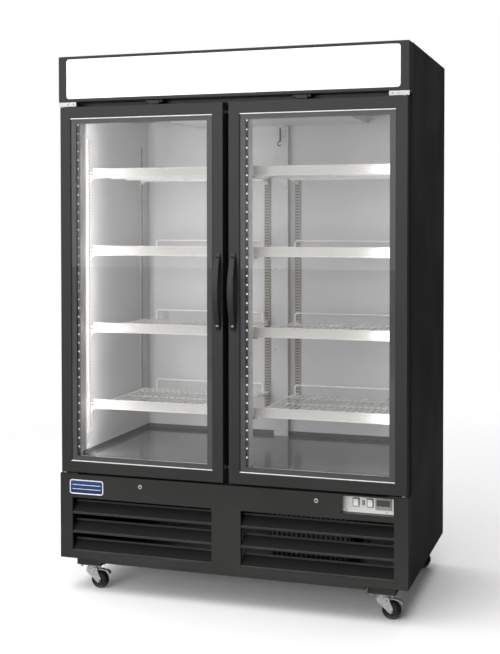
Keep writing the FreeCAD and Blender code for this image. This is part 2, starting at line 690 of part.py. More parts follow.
def extrusion(name, place, role, flip, length):
    """A length of the door's E-shaped section: an outer web with three flanges facing the glass."""
    body = new_body(name, *place)
    section = new_sketch(body, role)
    sign = "-" if flip else ""
    groove = "section + unit_depth"
    steps = [
        ("0", "0"), ("rail", "0"), ("rail", "section"), ("section", "section"),
        ("section", groove), ("rail", groove), ("rail", f"{groove} + section"),
        ("section", f"{groove} + section"), ("section", "door_depth - section"),
        ("rail", "door_depth - section"), ("rail", "door_depth"), ("0", "door_depth"),
    ]
    if role == "XY_Plane":
        outline(section, [(f"{sign}({reach})", depth) for reach, depth in steps])
    else:
        outline(section, [(depth, f"{sign}({reach})") for reach, depth in steps])
    grow(body, "Pad", section, length)
    return body


def make_doors():
    """Each door: four extrusions, a sealed glass unit, a gasket and a bowed handle."""
    for side, word in ((-1, "left"), (1, "right")):
        low_x, top_x = across(side, "door_middle", DOOR_OUT)
        wide = f"{DOOR_OUT} - door_middle"
        rails = [
            extrusion("bottom_rail", (low_x, FRONT, high("door_low")), "YZ_Plane", False, wide),
            extrusion("top_rail", (low_x, FRONT, high("door_high")), "YZ_Plane", True, wide),
        ]
        tall = "door_high - door_low - 2 * rail"
        stiles = [
            extrusion("low_stile", (low_x, FRONT, high("door_low + rail")), "XY_Plane", False, tall),
            extrusion("high_stile", (top_x, FRONT, high("door_low + rail")), "XY_Plane", True, tall),
        ]
        pivot = f"{SIDE} - pivot_edge" if side > 0 else f"-({SIDE} - pivot_edge)"
        bored = []
        for rail, level in zip(rails, ("door_low - 1", "door_high - section - 1")):
            hole = rod("pivot_bore", "z", "pivot_pin + pivot_fit", "section + 2", pivot,
                       deep("pivot_depth"), high(level))
            bored.append(cut("bored_rail", rail, hole))
        node(f"{word}_door_frame", bored + stiles)

        grip = "rail - pane_grip"
        x = (f"{low_x} + {grip}", f"{top_x} - ({grip})")
        z = heights(f"door_low + {grip}", f"door_high - ({grip})")
        front_pane = block("front_pane", x, depths("section", "section + pane"), z)
        back_pane = block("back_pane", x, depths("section + unit_depth - pane",
                                                 "section + unit_depth"), z)
        between = depths("section + pane", "section + unit_depth - pane")
        bars = [
            block("spacer_bar", x, between, (z[0], f"{z[0]} + spacer")),
            block("spacer_bar", x, between, (f"{z[1]} - spacer", z[1])),
        ]
        inside = (f"{z[0]} + spacer", f"{z[1]} - spacer")
        bars.append(block("spacer_bar", (x[0], f"{x[0]} + spacer"), between, inside))
        bars.append(block("spacer_bar", (f"{x[1]} - spacer", x[1]), between, inside))
        node(f"{word}_door_glass", [front_pane, back_pane] + bars)

        y = depths("door_depth", "face_depth - gasket_clear")
        x = (f"{low_x} + gasket_inset", f"{top_x} - gasket_inset")
        z = heights("door_low + gasket_inset", "door_high - gasket_inset")
        inside = (f"{z[0]} + gasket_width", f"{z[1]} - gasket_width")
        node(f"{word}_door_gasket", [
            block("gasket_bar", x, y, (z[0], f"{z[0]} + gasket_width")),
            block("gasket_bar", x, y, (f"{z[1]} - gasket_width", z[1])),
            block("gasket_bar", (x[0], f"{x[0]} + gasket_width"), y, inside),
            block("gasket_bar", (f"{x[1]} - gasket_width", x[1]), y, inside),
        ])
        make_handle(side, word)


def make_handle(side, word):
    """A bowed grip: an outer and an inner arc over two flat feet on the door's face."""
    x = "handle_centre" if side > 0 else "-handle_centre"
    body = new_body(f"{word}_grip", x, FRONT, high("handle_low"))
    face = new_sketch(body, "YZ_Plane")
    tall = "handle_high - handle_low"
    marks = [
        ("0", "0"),
        ("0", tall),
        ("0", f"{tall} - handle_foot"),
        ("0", "handle_foot"),
    ]
    points = [FreeCAD.Vector(value_of(y), value_of(z), 0) for y, z in marks]
    middle = value_of(tall) / 2
    reach = value_of("handle_reach")
    inner_reach = reach - value_of("handle_bar")
    outer_top = FreeCAD.Vector(-reach, middle, 0)
    inner_top = FreeCAD.Vector(-inner_reach, middle, 0)
    face.addGeometry(Part.Arc(points[0], outer_top, points[1]), False)
    face.addGeometry(Part.LineSegment(points[1], points[2]), False)
    face.addGeometry(Part.Arc(points[2], inner_top, points[3]), False)
    face.addGeometry(Part.LineSegment(points[3], points[0]), False)
    ends = [[(edge, end, face.getPoint(edge, end)) for end in (1, 2)] for edge in range(4)]
    for edge in range(4):
        for _, end, place in ends[edge]:
            for other, other_end, other_place in ends[(edge + 1) % 4]:
                if place.distanceToPoint(other_place) < 1e-6:
                    face.addConstraint(Sketcher.Constraint("Coincident", edge, end, other, other_end))
    for edge, marked in ((1, (marks[1], marks[2])), (3, (marks[3], marks[0]))):
        for end, point in zip((1, 2), marked):
            pin_point(face, edge, end, point)
    half = f"({tall}) / 2"
    bows = (
        (0, f"(({half}) ^ 2 + handle_reach ^ 2) / (2 * handle_reach)"),
        (2, f"(({half} - handle_foot) ^ 2 + (handle_reach - handle_bar) ^ 2)"
            " / (2 * (handle_reach - handle_bar))"),
    )
    for edge, radius in bows:
        rule = face.addConstraint(Sketcher.Constraint("Radius", edge, value_of(radius)))
        face.renameConstraint(rule, f"bow_{edge}")
        bind(face, f"Constraints.bow_{edge}", radius)
    grow(body, "Pad", face, "handle_width", both_ways=True)
    node(f"{word}_handle", body)


def make_hinge_brackets():
    """A plate with a pin at the top and the bottom of each door's outer edge."""
    brackets = []
    for side in (-1, 1):
        pivot = f"{SIDE} - pivot_edge" if side > 0 else f"-({SIDE} - pivot_edge)"
        x = across(side, f"{SIDE} - bracket_width", SIDE)
        y = depths("pivot_stop", "face_depth")
        for low, pin_low, pin_long in (
            ("base_height", "base_height + bracket_gauge",
             "door_low - base_height - bracket_gauge + pivot_reach"),
            ("header_bottom - bracket_gauge", "door_high - pivot_reach",
             "header_bottom - bracket_gauge - door_high + pivot_reach"),
        ):
            plate = block("hinge_plate", x, y, heights(low, f"{low} + bracket_gauge"))
            pin = rod("hinge_pin", "z", "pivot_pin", pin_long, pivot, deep("pivot_depth"),
                      high(pin_low))
            brackets.append(fuse("hinge_bracket", [plate, pin]))
    node("hinge_brackets", brackets)


# ---- inside --------------------------------------------------------------------------------------


def make_standards():
    """Upright shelf standards: two on each side wall, two on the back wall, two on the mullion."""
    bars = []
    half = "standard_width / 2"
    tall = heights("standard_low", "standard_high")
    behind = "face_depth + mullion_depth"
    for side in (-1, 1):
        wall_x = across(side, f"{INNER_SIDE} - standard_depth", INNER_SIDE)
        for centre in ("standard_front", "standard_rear"):
            y = depths(f"{centre} - {half}", f"{centre} + {half}")
            bars.append(block("side_standard", wall_x, y, tall))
        rear_x = across(side, "rear_standard_at - rear_standard_half",
                        "rear_standard_at + rear_standard_half")
        bars.append(block("rear_standard", rear_x, depths("back_depth - standard_depth", "back_depth"),
                          heights("standard_low", "rear_standard_high")))
        inner_x = across(side, f"inner_standard_at - {half}", f"inner_standard_at + {half}")
        bars.append(block("inner_standard", inner_x,
                          depths(behind, f"{behind} + standard_depth"), tall))
    node("shelf_standards", bars)


def shelf_deck(name, side, top):
    """A rimmed deck with a row of long gaps between its wires."""
    start = "strip_in" if side > 0 else "-deck_out"
    wide = "deck_out - strip_in"
    long = "deck_back - strip_depth - strip_gauge"
    body = new_body(name, start, deep("strip_depth + strip_gauge"), high(f"{top} - deck_drop"))
    plate = new_sketch(body, "XY_Plane")
    rectangle(plate, ("0", "0"), (wide, long))
    grow(body, "Pad", plate, "deck_gauge", reverse=True)
    doc.recompute()
    gap = new_sketch(body, "XY_Plane")
    rectangle(gap, ("deck_rim", "deck_rim"), ("deck_rim + deck_gap", f"{long} - deck_rim"))
    slot = grow(body, "Pocket", gap, "deck_gauge")
    doc.recompute()
    row = body.newObject("PartDesign::LinearPattern", f"{name}_row")
    row.Originals = [slot]
    row.Direction = (gap, ["H_Axis"])
    count = int((value_of(wide) - 2 * value_of("deck_rim")) // value_of("deck_pitch"))
    row.Length = value_of("deck_pitch") * (count - 1)
    row.Occurrences = count
    body.Tip = row
    return body


def make_shelves():
    """Four shelves a side, each with its price strip, rear fence and four clips."""
    for side, word in ((-1, "left"), (1, "right")):
        for level in range(4):
            label = f"{word}_shelf_{level + 1}"
            top = f"lowest_shelf + shelf_pitch * {level}"
            under = f"{top} - deck_drop - deck_gauge"
            pieces = [shelf_deck(f"{label}_deck", side, top)]
            pieces.append(block("price_strip", across(side, "strip_in", "strip_out"),
                                depths("strip_depth", "strip_depth + strip_gauge"),
                                heights(f"{top} - strip_height", top)))
            pieces += shelf_fence(side, f"{top} - deck_drop")
            pieces += shelf_clips(side, under)
            node(label, pieces)


def shelf_fence(side, foot):
    """Two posts and a rail along the back edge of a deck."""
    y = depths("deck_back - fence_wire", "deck_back")
    rail_low = f"{foot} + fence_height - fence_wire"
    posts = heights(foot, rail_low)
    return [
        block("fence_post", across(side, "fence_in", "fence_in + fence_wire"), y, posts),
        block("fence_post", across(side, "fence_out - fence_wire", "fence_out"), y, posts),
        block("fence_rail", across(side, "fence_in", "fence_out"), y,
              heights(rail_low, f"{foot} + fence_height")),
    ]


def shelf_clips(side, under):
    """Clips under the deck, each reaching to its own standard. The one at the mullion is L-shaped."""
    z = heights(f"{under} - clip_height", under)
    half = "clip_width / 2"
    clips = []
    reach = f"{INNER_SIDE} - standard_depth - clip_clear"
    for centre in ("standard_front + clip_width", "standard_rear"):
        clips.append(block("side_clip", across(side, "deck_out - clip_lap", reach),
                           depths(f"{centre} - {half}", f"{centre} + {half}"), z))
    rear = ("rear_standard_at", "rear_standard_at + clip_width")
    clips.append(block("rear_clip", across(side, *rear),
                       depths("deck_back - clip_width", "back_depth - standard_depth - clip_clear"), z))
    front = "face_depth + mullion_depth + standard_depth + clip_clear"
    near = f"inner_standard_at - {half}"
    turn = f"{front} + inner_clip_turn"
    arm = block("inner_clip_arm", across(side, near, f"{near} + inner_clip_turn"),
                depths(front, f"{turn} + clip_width"), z)
    tab = block("inner_clip_tab", across(side, near, "strip_in + clip_lap"),
                depths(turn, f"{turn} + clip_width"), z)
    clips.append(fuse("inner_clip", [arm, tab]))
    return clips


def make_air_duct():
    """A folded channel up the middle of the back wall."""
    body = new_body("duct", "0", deep("back_depth"), high("floor_level"))
    profile = new_sketch(body, "XY_Plane")
    outline(profile, [
        ("-duct_half", "0"),
        ("-duct_half", "-duct_depth"),
        ("duct_half", "-duct_depth"),
        ("duct_half", "0"),
        ("duct_half - skin", "0"),
        ("duct_half - skin", "skin - duct_depth"),
        ("skin - duct_half", "skin - duct_depth"),
        ("skin - duct_half", "0"),
    ])
    grow(body, "Pad", profile, "cover_low - floor_level")
    node("rear_air_duct", body)


def make_evaporator_cover():
    """The tray-shaped cover that closes the evaporator bay under the ceiling."""
    body = new_body("coil_tray", "0", "0", high("cover_low"))
    outer = new_sketch(body, "XY_Plane")
    rectangle(outer, ("-coil_bay_half", deep("coil_bay_front")), ("coil_bay_half", deep("back_depth")))
    grow(body, "Pad", outer, "ceiling_level - cover_low")
    doc.recompute()
    inner = new_sketch(body, "XY_Plane")
    bind(inner, "AttachmentOffset.Base.z", "skin")
    rectangle(inner, ("skin - coil_bay_half", deep("coil_bay_front + skin")),
              ("coil_bay_half - skin", deep("back_depth - skin")))
    grow(body, "Pocket", inner, "ceiling_level", reverse=True)
    node("evaporator_cover", body)


def tube_ends(half, middle, rows, levels):
    """Straight tube ends that stand out of both ends of a finned core."""
    stubs = []
    for row in rows:
        for level in levels:
            for start in (f"{middle} + {half}", f"{middle} - {half} - tube_reach"):
                stubs.append(rod("tube_end", "x", "tube_radius", "tube_reach", start,
                                 deep(row), high(level)))
    return stubs


def make_heat_exchangers():
    """The finned evaporator coil in the roof bay and the condenser coil behind the louvers."""
    coil = depths("coil_front", "coil_back")
    cores = [
        block("evaporator_core", ("-cold_coil_half", "cold_coil_half"),
              depths("cold_coil_front", "cold_coil_back"), heights("cold_coil_low", "cold_coil_high")),
        block("condenser_core", ("coil_in", "coil_out"), coil, heights("coil_low", "coil_high")),
        block("condenser_foot", ("coil_in", "coil_out"), coil, heights("skin", "coil_low")),
    ]
    thick = "(cold_coil_back - cold_coil_front)"
    rows = [f"cold_coil_front + {thick} * {part}" for part in (0.2, 0.5, 0.8)]
    levels = ["cold_coil_low + (cold_coil_high - cold_coil_low) * 0.25",
              "cold_coil_low + (cold_coil_high - cold_coil_low) * 0.75"]
    cores += tube_ends("cold_coil_half", "0", rows, levels)
    rows = ["coil_front + (coil_back - coil_front) * 0.25", "coil_front + (coil_back - coil_front) * 0.75"]
    levels = [f"coil_low + (coil_high - coil_low) * {part}" for part in (0.15, 0.38, 0.61, 0.84)]
    cores += tube_ends("(coil_out - coil_in) / 2", "(coil_out + coil_in) / 2", rows, levels)
    node("heat_exchangers", cores)


def fan_blades(name, centre, radius, hub, length):
    """A hub with a bore, and five blades set at an angle round it, on an axis along Y."""
    x, y, z = centre
    pieces = [rod(f"{name}_hub", "y", hub, length, x, y, z)]
    tilt = FreeCAD.Rotation(FreeCAD.Vector(1, 0, 0), 28)
    buried = value_of(hub) * 0.2
    wide = 0.42
    place = FreeCAD.Vector(value_of(x), value_of(f"{y} + {length} / 2"), value_of(z))
    start = FreeCAD.Vector(value_of(hub) - buried, -value_of("blade_gauge") / 2,
                           -value_of(radius) * wide / 2)
    for count in range(5):
        blade = doc.addObject("Part::Box", f"{name}_blade")
        bind(blade, "Length", f"{radius} - {hub} * 0.8")
        bind(blade, "Width", "blade_gauge")
        bind(blade, "Height", f"{radius} * {wide}")
        turn = FreeCAD.Rotation(FreeCAD.Vector(0, 1, 0), 360 * count / 5)
        pitched = FreeCAD.Placement(tilt.multVec(start), tilt)
        blade.Placement = FreeCAD.Placement(place, turn) * pitched
        pieces.append(blade)
    bore = rod(f"{name}_bore", "y", "shaft_radius + shaft_fit", f"{length} * 2", x,
               f"{y} - {length} / 2", z)
    return cut(name, fuse(f"{name}_blades", pieces), bore)


def fan_motor(name, centre, radius, length, shaft, post):
    """A motor behind a fan, with its shaft through the fan's hub and a post that carries it."""
    x, y, z = centre
    can = rod(f"{name}_can", "y", radius, length, x, y, z)
    spindle = rod(f"{name}_shaft", "y", "shaft_radius", f"{shaft} + skin", x, f"{y} - {shaft}", z)
    middle = f"{y} + {length} / 2"
    stay = block(f"{name}_post", (f"{x} - post_half", f"{x} + post_half"),
                 (f"{middle} - post_half", f"{middle} + post_half"), post)
    return fuse(name, [can, spindle, stay])


def make_fans():
    """Condenser and evaporator fans, and the motors that carry them."""
    cool = ("fan_across", deep("fan_depth"), high("fan_up"))
    cold = ("0", deep("cold_fan_depth"), high("cold_fan_up"))
    node("condenser_fan", fan_blades("condenser_blades", cool, "fan_radius", "fan_hub", "fan_length"))
    node("evaporator_fan", fan_blades("evaporator_blades", cold, "cold_fan_radius", "cold_fan_hub",
                                      "cold_fan_length"))
    cool_motor = ("fan_across", deep("fan_depth + fan_length + fan_clear"), high("fan_up"))
    cold_motor = ("0", deep("cold_fan_depth + cold_fan_length + fan_clear"), high("cold_fan_up"))
    node("fan_motors", [
        fan_motor("condenser_motor", cool_motor, "motor_radius", "motor_length", "fan_length",
                  heights("skin", "fan_up - motor_radius / 2")),
        fan_motor("evaporator_motor", cold_motor, "cold_motor_radius", "cold_motor_length",
                  "cold_fan_length", heights("cold_fan_up + cold_motor_radius / 2", "roof_level")),
    ])


def make_sensor():
    """The thermostat's bulb: a rigid capillary tube that ends in a hook in front of the duct."""
    y = deep("sensor_depth")
    foot = high("cover_low - sensor_drop")
    stem = rod("sensor_stem", "z", "sensor_tube", "sensor_drop", "sensor_at", y, foot)
    sleeve = rod("sleeve", "z", "sensor_sleeve", "sensor_drop - sleeve_top", "sensor_at", y, foot)
    hook = doc.addObject("Part::Torus", "sensor_hook")
    bind(hook, "Radius1", "hook_radius")
    bind(hook, "Radius2", "sensor_tube")
    hook.Angle3 = 230
    upright = FreeCAD.Rotation(FreeCAD.Vector(1, 0, 0), 90)
    turn = FreeCAD.Rotation(FreeCAD.Vector(0, 1, 0), -75)
    hook.Placement.Rotation = turn.multiply(upright)
    put(hook, "sensor_at - 2", y, high("cover_low - sensor_drop - hook_radius"))
    node("sensor_bulb", fuse("sensor_parts", [stem, sleeve, hook]))


def make_machinery():
    """The deck under the cabinet, the compressor, the drain pan and the power inlet."""
    inside = (f"-({SIDE} - skin)", f"{SIDE} - skin")
    node("base_deck", block("deck_sheet", inside, depths("skin", "cabinet_depth - skin"),
                            heights("0", "skin")))

    make_compressor()
    make_drain_pan()
    make_rear_grille()
    at = deep("cabinet_depth - grille_inset")
    up = high("inlet_up")
    flange = rod("inlet_flange", "y", "inlet_flange", "lining * 3", "inlet_across", at, up)
    collar = rod("inlet_collar", "y", "inlet_collar", "inlet_reach", "inlet_across", at, up)
    hole = rod("inlet_hole", "y", "inlet_bore", "2 * inlet_reach", "inlet_across", f"{at} - skin", up)
    node("power_inlet", cut("inlet", fuse("inlet_body", [flange, collar]), hole))


def make_compressor():
    """A turned steel shell on a foot plate, on four rubber feet."""
    body = new_body("compressor_shell", "compressor_across", deep("compressor_depth"),
                    high("skin + compressor_lift"))
    half = new_sketch(body, "XZ_Plane")
    outline(half, [
        ("0", "0"),
        ("compressor_radius * 0.87", "0"),
        ("compressor_radius", "compressor_height * 0.07"),
        ("compressor_radius", "compressor_height * 0.6"),
        ("compressor_radius * 0.85", "compressor_height * 0.86"),
        ("compressor_radius * 0.48", "compressor_height"),
        ("0", "compressor_height"),
    ])
    shell = body.newObject("PartDesign::Revolution", "compressor_turned")
    shell.Profile = half
    shell.ReferenceAxis = (half, ["V_Axis"])
    shell.Angle = 360
    under = "skin + compressor_lift - foot_gauge"
    feet = block("compressor_feet",
                 ("compressor_across - foot_across", "compressor_across + foot_across"),
                 depths("compressor_depth - foot_deep", "compressor_depth + foot_deep"),
                 heights(under, "skin + compressor_lift"))
    grommets = []
    for x in ("compressor_across - foot_across + grommet_inset",
              "compressor_across + foot_across - grommet_inset"):
        for y in ("compressor_depth - foot_deep + grommet_inset",
                  "compressor_depth + foot_deep - grommet_inset"):
            grommets.append(rod("grommet", "z", "grommet_radius", "compressor_lift - foot_gauge", x,
                                deep(y), high("skin")))
    node("compressor", [body, feet] + grommets)


def make_drain_pan():
    """An open tray for defrost water, on the deck."""
    pan = new_body("pan", "-pan_out", deep("pan_front"), high("skin + pan_lift"))
    wide = "pan_out - pan_in"
    long = "pan_back - pan_front"
    outer = new_sketch(pan, "XY_Plane")
    rectangle(outer, ("0", "0"), (wide, long))
    grow(pan, "Pad", outer, "pan_height")
    doc.recompute()
    hollow = new_sketch(pan, "XY_Plane")
    bind(hollow, "AttachmentOffset.Base.z", "pan_wall")
    rectangle(hollow, ("pan_wall", "pan_wall"), (f"{wide} - pan_wall", f"{long} - pan_wall"))
    grow(pan, "Pocket", hollow, "pan_height", reverse=True)
    node("drain_pan", pan)


def make_rear_grille():
    """A slotted sheet that closes the back of the machine space, set in from the back panel."""
    half = f"{SIDE} - skin"
    body = new_body("rear_sheet", "0", deep("cabinet_depth - grille_inset"), "caster_height")
    sheet_face = new_sketch(body, "XZ_Plane")
    rectangle(sheet_face, (f"-({half})", "skin"), (half, "base_height + panel_gap"))
    circle(sheet_face, "inlet_bore", ("inlet_across", "inlet_up"))
    grow(body, "Pad", sheet_face, "skin")
    doc.recompute()
    slot_face = new_sketch(body, "XZ_Plane")
    for side in (-1, 1):
        x = across(side, "slot_in", "slot_out")
        rectangle(slot_face, (x[0], "slot_low"), (x[1], "slot_low + slot_height"))
    slot = grow(body, "Pocket", slot_face, "4 * skin", both_ways=True)
    doc.recompute()
    row = body.newObject("PartDesign::LinearPattern", "rear_slots")
    row.Originals = [slot]
    row.Direction = (slot_face, ["V_Axis"])
    row.Occurrences = 7
    row.Length = value_of("slot_pitch") * (row.Occurrences - 1)
    body.Tip = row
    node("rear_grille", body)


# ---- casters -------------------------------------------------------------------------------------


def caster_places():
    """Each caster's name, swivel line and whether it has a brake."""
    for depth, word, brake in (("caster_inset", "front", True),
                               ("cabinet_depth - caster_inset", "rear", False)):
        for side, hand in ((-1, "left"), (1, "right")):
            x = "caster_across" if side > 0 else "-caster_across"
            yield f"{word}_{hand}", x, deep(depth), brake


def make_caster_mounts():
    """Under each corner: a block, the caster's fixed plate, and the kingpin with its nut."""
    pieces = []
    under = "plate_level - plate_gauge"
    for name, x, y, _ in caster_places():
        pieces.append(block("mount_block", (f"{x} - block_width / 2", f"{x} + block_width / 2"),
                            (f"{y} - block_depth / 2", f"{y} + block_depth / 2"),
                            ("plate_level", "caster_height")))
        plate = block("fixed_plate", (f"{x} - fixed_across", f"{x} + fixed_across"),
                      (f"{y} - fixed_deep", f"{y} + fixed_deep"), (under, "plate_level"))
        pin = rod("kingpin", "z", "kingpin_radius", f"{under} - kingpin_foot", x, y, "kingpin_foot")
        nut = rod("kingpin_nut", "z", "nut_radius",
                  "yoke_level - yoke_crown - swivel_clear - kingpin_foot", x, y, "kingpin_foot")
        pieces.append(fuse("swivel_plate", [plate, pin, nut]))
    node("caster_mounts", pieces)


def make_fork(name, x, y, wide):
    """A pressed yoke with a bearing cup on its crown."""
    body = new_body(f"{name}_yoke", x, y, "0")
    leg = new_sketch(body, "XZ_Plane")
    outline(leg, [
        ("-yoke_front", "yoke_level"),
        ("-yoke_front", "yoke_level - 16"),
        ("wheel_trail - 10", "wheel_radius - 6"),
        ("wheel_trail - 3", "wheel_radius - 11"),
        ("wheel_trail + 6", "wheel_radius - 8"),
        ("wheel_trail + 9", "wheel_radius + 4"),
        ("yoke_behind", "yoke_level - 10"),
        ("yoke_behind", "yoke_level"),
    ])
    grow(body, "Pad", leg, wide, both_ways=True)
    doc.recompute()
    inside = new_sketch(body, "XZ_Plane")
    rectangle(inside, ("-2 * wheel_trail", "-wheel_radius"),
              ("3 * wheel_trail", "yoke_level - yoke_crown"))
    grow(body, "Pocket", inside, f"{wide} - 2 * yoke_gauge", both_ways=True)
    race = new_sketch(body, "XY_Plane")
    bind(race, "AttachmentOffset.Base.z", "yoke_level")
    circle(race, "race_radius")
    grow(body, "Pad", race, "plate_level - plate_gauge - swivel_clear - yoke_level")
    bore = new_sketch(body, "XY_Plane")
    circle(bore, "kingpin_radius + swivel_clear")
    grow(body, "Pocket", bore, "2 * yoke_level", reverse=True)
    return body


def make_caster(name, x, y, brake):
    """A fork that swivels on its kingpin, and a wheel that trails behind it."""
    wide = "wheel_width + 2 * (yoke_gauge + yoke_side)"
    start = f"{y} - ({wide}) / 2"
    pieces = [
        make_fork(name, x, y, wide),
        rod("axle", "y", "axle_radius", wide, f"{x} + wheel_trail", start, "wheel_radius"),
    ]
    if brake:
        pieces.append(rod("brake_pin", "y", "brake_pin", wide, f"{x} + brake_at", start, "brake_level"))
    node(f"{name}_caster_fork", pieces)

    wheel = new_body(f"{name}_tyre", f"{x} + wheel_trail", y, "wheel_radius")
    section = new_sketch(wheel, "XY_Plane")
    bore_radius = "axle_radius + axle_fit"
    side = "wheel_width / 2"
    rising = [
        (bore_radius, f"{side} + hub_stand"),
        ("hub_radius", f"{side} + hub_stand"),
        ("hub_radius + 1", f"{side} - web_inset"),
        ("tyre_edge - 2", f"{side} - web_inset"),
        ("tyre_edge", side),
        ("wheel_radius - tread_edge", side),
        ("wheel_radius", f"{side} - tread_shoulder"),
    ]
    falling = [(radius, f"-({depth})") for radius, depth in rising]
    outline(section, falling + rising[::-1])
    turned = wheel.newObject("PartDesign::Revolution", f"{name}_turned")
    turned.Profile = section
    turned.ReferenceAxis = (section, ["V_Axis"])
    turned.Angle = 360
    node(f"{name}_caster_wheel", wheel)
    if brake:
        make_brake_pedal(name, x, y)


def make_brake_pedal(name, x, y):
    """A pressed lever between the fork's legs, on its own pin, with a tread beyond the wheel."""
    body = new_body(f"{name}_lever", f"{x} + brake_at", y, "brake_level")
    side = new_sketch(body, "XZ_Plane")
    outline(side, [
        ("-3", "2.5"),
        ("26", "4.5"),
        ("52", "0"),
        ("60", "-11"),
        ("57.5", "-12"),
        ("50.5", "-2.4"),
        ("26", "2"),
        ("4", "0.4"),
    ])
    grow(body, "Pad", side, "pedal_width", both_ways=True)
    start = f"{y} - pedal_width / 2"
    pin_x = f"{x} + brake_at"
    curl = rod(f"{name}_curl", "y", "brake_curl", "pedal_width", pin_x, start, "brake_level")
    hole = rod(f"{name}_curl_bore", "y", "brake_pin + brake_fit", "2 * pedal_width", pin_x,
               f"{y} - pedal_width", "brake_level")
    whole = fuse(f"{name}_lever_and_curl", [body, curl])
    node(f"{name}_brake_pedal", cut(f"{name}_pedal", whole, hole))


def write_parts():
    """Check every object, then write each sub-part to its own file."""
    doc.recompute()
    for thing in doc.Objects:
        if {"Invalid", "Error"} & set(thing.State):
            raise RuntimeError(f"{thing.Name} failed: {thing.State}")
    labels = [thing.Label for thing in NODES]
    if len(set(labels)) != len(labels):
        raise RuntimeError("two sub-parts share a label")
    os.makedirs("parts", exist_ok=True)
    for old in os.listdir("parts"):
        os.remove(os.path.join("parts", old))
    for thing in NODES:
        shape = thing.Shape
        if shape.isNull() or not shape.isValid() or not shape.Solids:
            raise RuntimeError(f"{thing.Label} has no valid solid")
        shape.exportStep(f"parts/{thing.Label}.step")
    print(len(NODES), "sub-parts")


make_outer_panels()
make_insulation()
make_liner()
make_front_frame()
make_led_strips()
make_header()
make_base_panel()
make_louvers()
make_name_plate()
make_controls()
make_locks()
make_doors()
make_hinge_brackets()
make_standards()
make_shelves()
make_air_duct()
make_evaporator_cover()
make_heat_exchangers()
make_fans()
make_sensor()
make_machinery()
make_caster_mounts()
for caster in caster_places():
    make_caster(*caster)
write_parts()
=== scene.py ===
import math

import bmesh
import bpy
from bpy.props import FloatProperty, FloatVectorProperty, IntProperty, PointerProperty
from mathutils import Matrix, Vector


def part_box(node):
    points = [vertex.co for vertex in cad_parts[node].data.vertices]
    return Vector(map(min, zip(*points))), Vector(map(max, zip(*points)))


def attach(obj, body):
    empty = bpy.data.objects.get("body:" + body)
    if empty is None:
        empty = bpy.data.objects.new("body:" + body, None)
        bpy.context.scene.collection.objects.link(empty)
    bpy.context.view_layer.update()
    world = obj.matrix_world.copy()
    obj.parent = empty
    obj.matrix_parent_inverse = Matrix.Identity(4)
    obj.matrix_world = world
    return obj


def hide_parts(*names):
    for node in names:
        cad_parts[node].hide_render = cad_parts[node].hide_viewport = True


bl_info = {
    "name": "Glass Door Merchandiser",
    "version": (1, 0, 0),
    "blender": (4, 5, 0),
    "location": "View3D > Sidebar > Merchandiser",
    "description": "Builds a two-door glass merchandiser round its packed model",
    "category": "Object",
}

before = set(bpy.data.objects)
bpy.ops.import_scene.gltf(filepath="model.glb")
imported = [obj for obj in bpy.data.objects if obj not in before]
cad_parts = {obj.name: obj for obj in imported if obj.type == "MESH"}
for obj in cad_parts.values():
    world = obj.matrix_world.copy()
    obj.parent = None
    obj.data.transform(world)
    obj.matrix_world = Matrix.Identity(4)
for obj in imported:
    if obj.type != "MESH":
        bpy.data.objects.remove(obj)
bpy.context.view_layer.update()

MM = 0.001
FRONT_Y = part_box("base_panel")[0].y  # the front plane of the header, the doors and the base
FOOT_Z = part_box("base_panel")[0].z  # the cabinet's bottom edge
FLOOR = -FOOT_Z / MM  # the floor, in the millimetres that at() takes
SIDES = ((-1, "left"), (1, "right"))

# Places that several pieces share, in the millimetres that at() takes.
HALF_WIDTH = 686
BACK = 808  # the back sheet's inner face
MACHINE_TOP = 331  # the machine space ends and the insulated cabinet starts
DOOR_FOOT, DOOR_HEAD = 337, 1756
OPENING_FOOT, OPENING_HEAD = 388, 1721  # the hole in the breaker frame
LINER_FLOOR = 406
HEADER_FOOT, HEADER_TOP = 1775, 1951
HINGE_X, HINGE_Y = 668, 12  # a door's hinge line
HINGE_LEAF = (612, 685)
LOCK_X, LOCK_Z = 348, 298
SWITCHES = (("lamp_switch", 489), ("power_switch", 541))
SWITCH_Z = 297
FIRST_SHELF, SHELF_RISE, SHELF_LEVELS = 606, 306, 4


def linear(code):
    """An sRGB hex colour as linear red, green and blue."""
    parts = [int(code[i:i + 2], 16) / 255 for i in (1, 3, 5)]
    return tuple(p / 12.92 if p <= 0.04045 else ((p + 0.055) / 1.055) ** 2.4 for p in parts)


def colour_choice(name, description, code):
    return FloatVectorProperty(name=name, description=description, subtype="COLOR",
                               default=linear(code), min=0.0, max=1.0)


def size_choice(name, description, default):
    return FloatProperty(name=name, description=description, default=default, unit="LENGTH",
                         subtype="DISTANCE")


# ---- settings ------------------------------------------------------------------------------------


class FinishSettings(bpy.types.PropertyGroup):
    """Colours of the finishes that a user would change."""
    coat: colour_choice("Cabinet", "Powder coat on the cabinet and the doors", "#2c2c2b")
    moulding: colour_choice("Handles", "Moulded ABS of the handles", "#2c2c2c")
    liner: colour_choice("Interior", "Painted lining of the cabinet", "#d2d1d2")
    breaker: colour_choice("Breaker frame", "Vinyl frame that the gaskets close on", "#dfe0de")
    acrylic: colour_choice("Light panel", "Opal acrylic of the header", "#fbfbfa")
    wire: colour_choice("Shelf wire", "Epoxy coat on the shelf wires", "#f8f8f6")
    strip: colour_choice("Price strips", "Extruded PVC of the price strips", "#f7f6f4")
    insert: colour_choice("Price strip insert", "Card channel of the price strips", "#efece7")
    badge: colour_choice("Name plate", "Enamel of the plain name plate", "#33477c")
    control: colour_choice("Control plate", "Enamel of the control plate", "#cbcdc9")
    zinc: colour_choice("Casters", "Zinc plate on the casters", "#e4e7e4")
    tyre: colour_choice("Wheels", "Polyurethane of the caster wheels", "#161617")


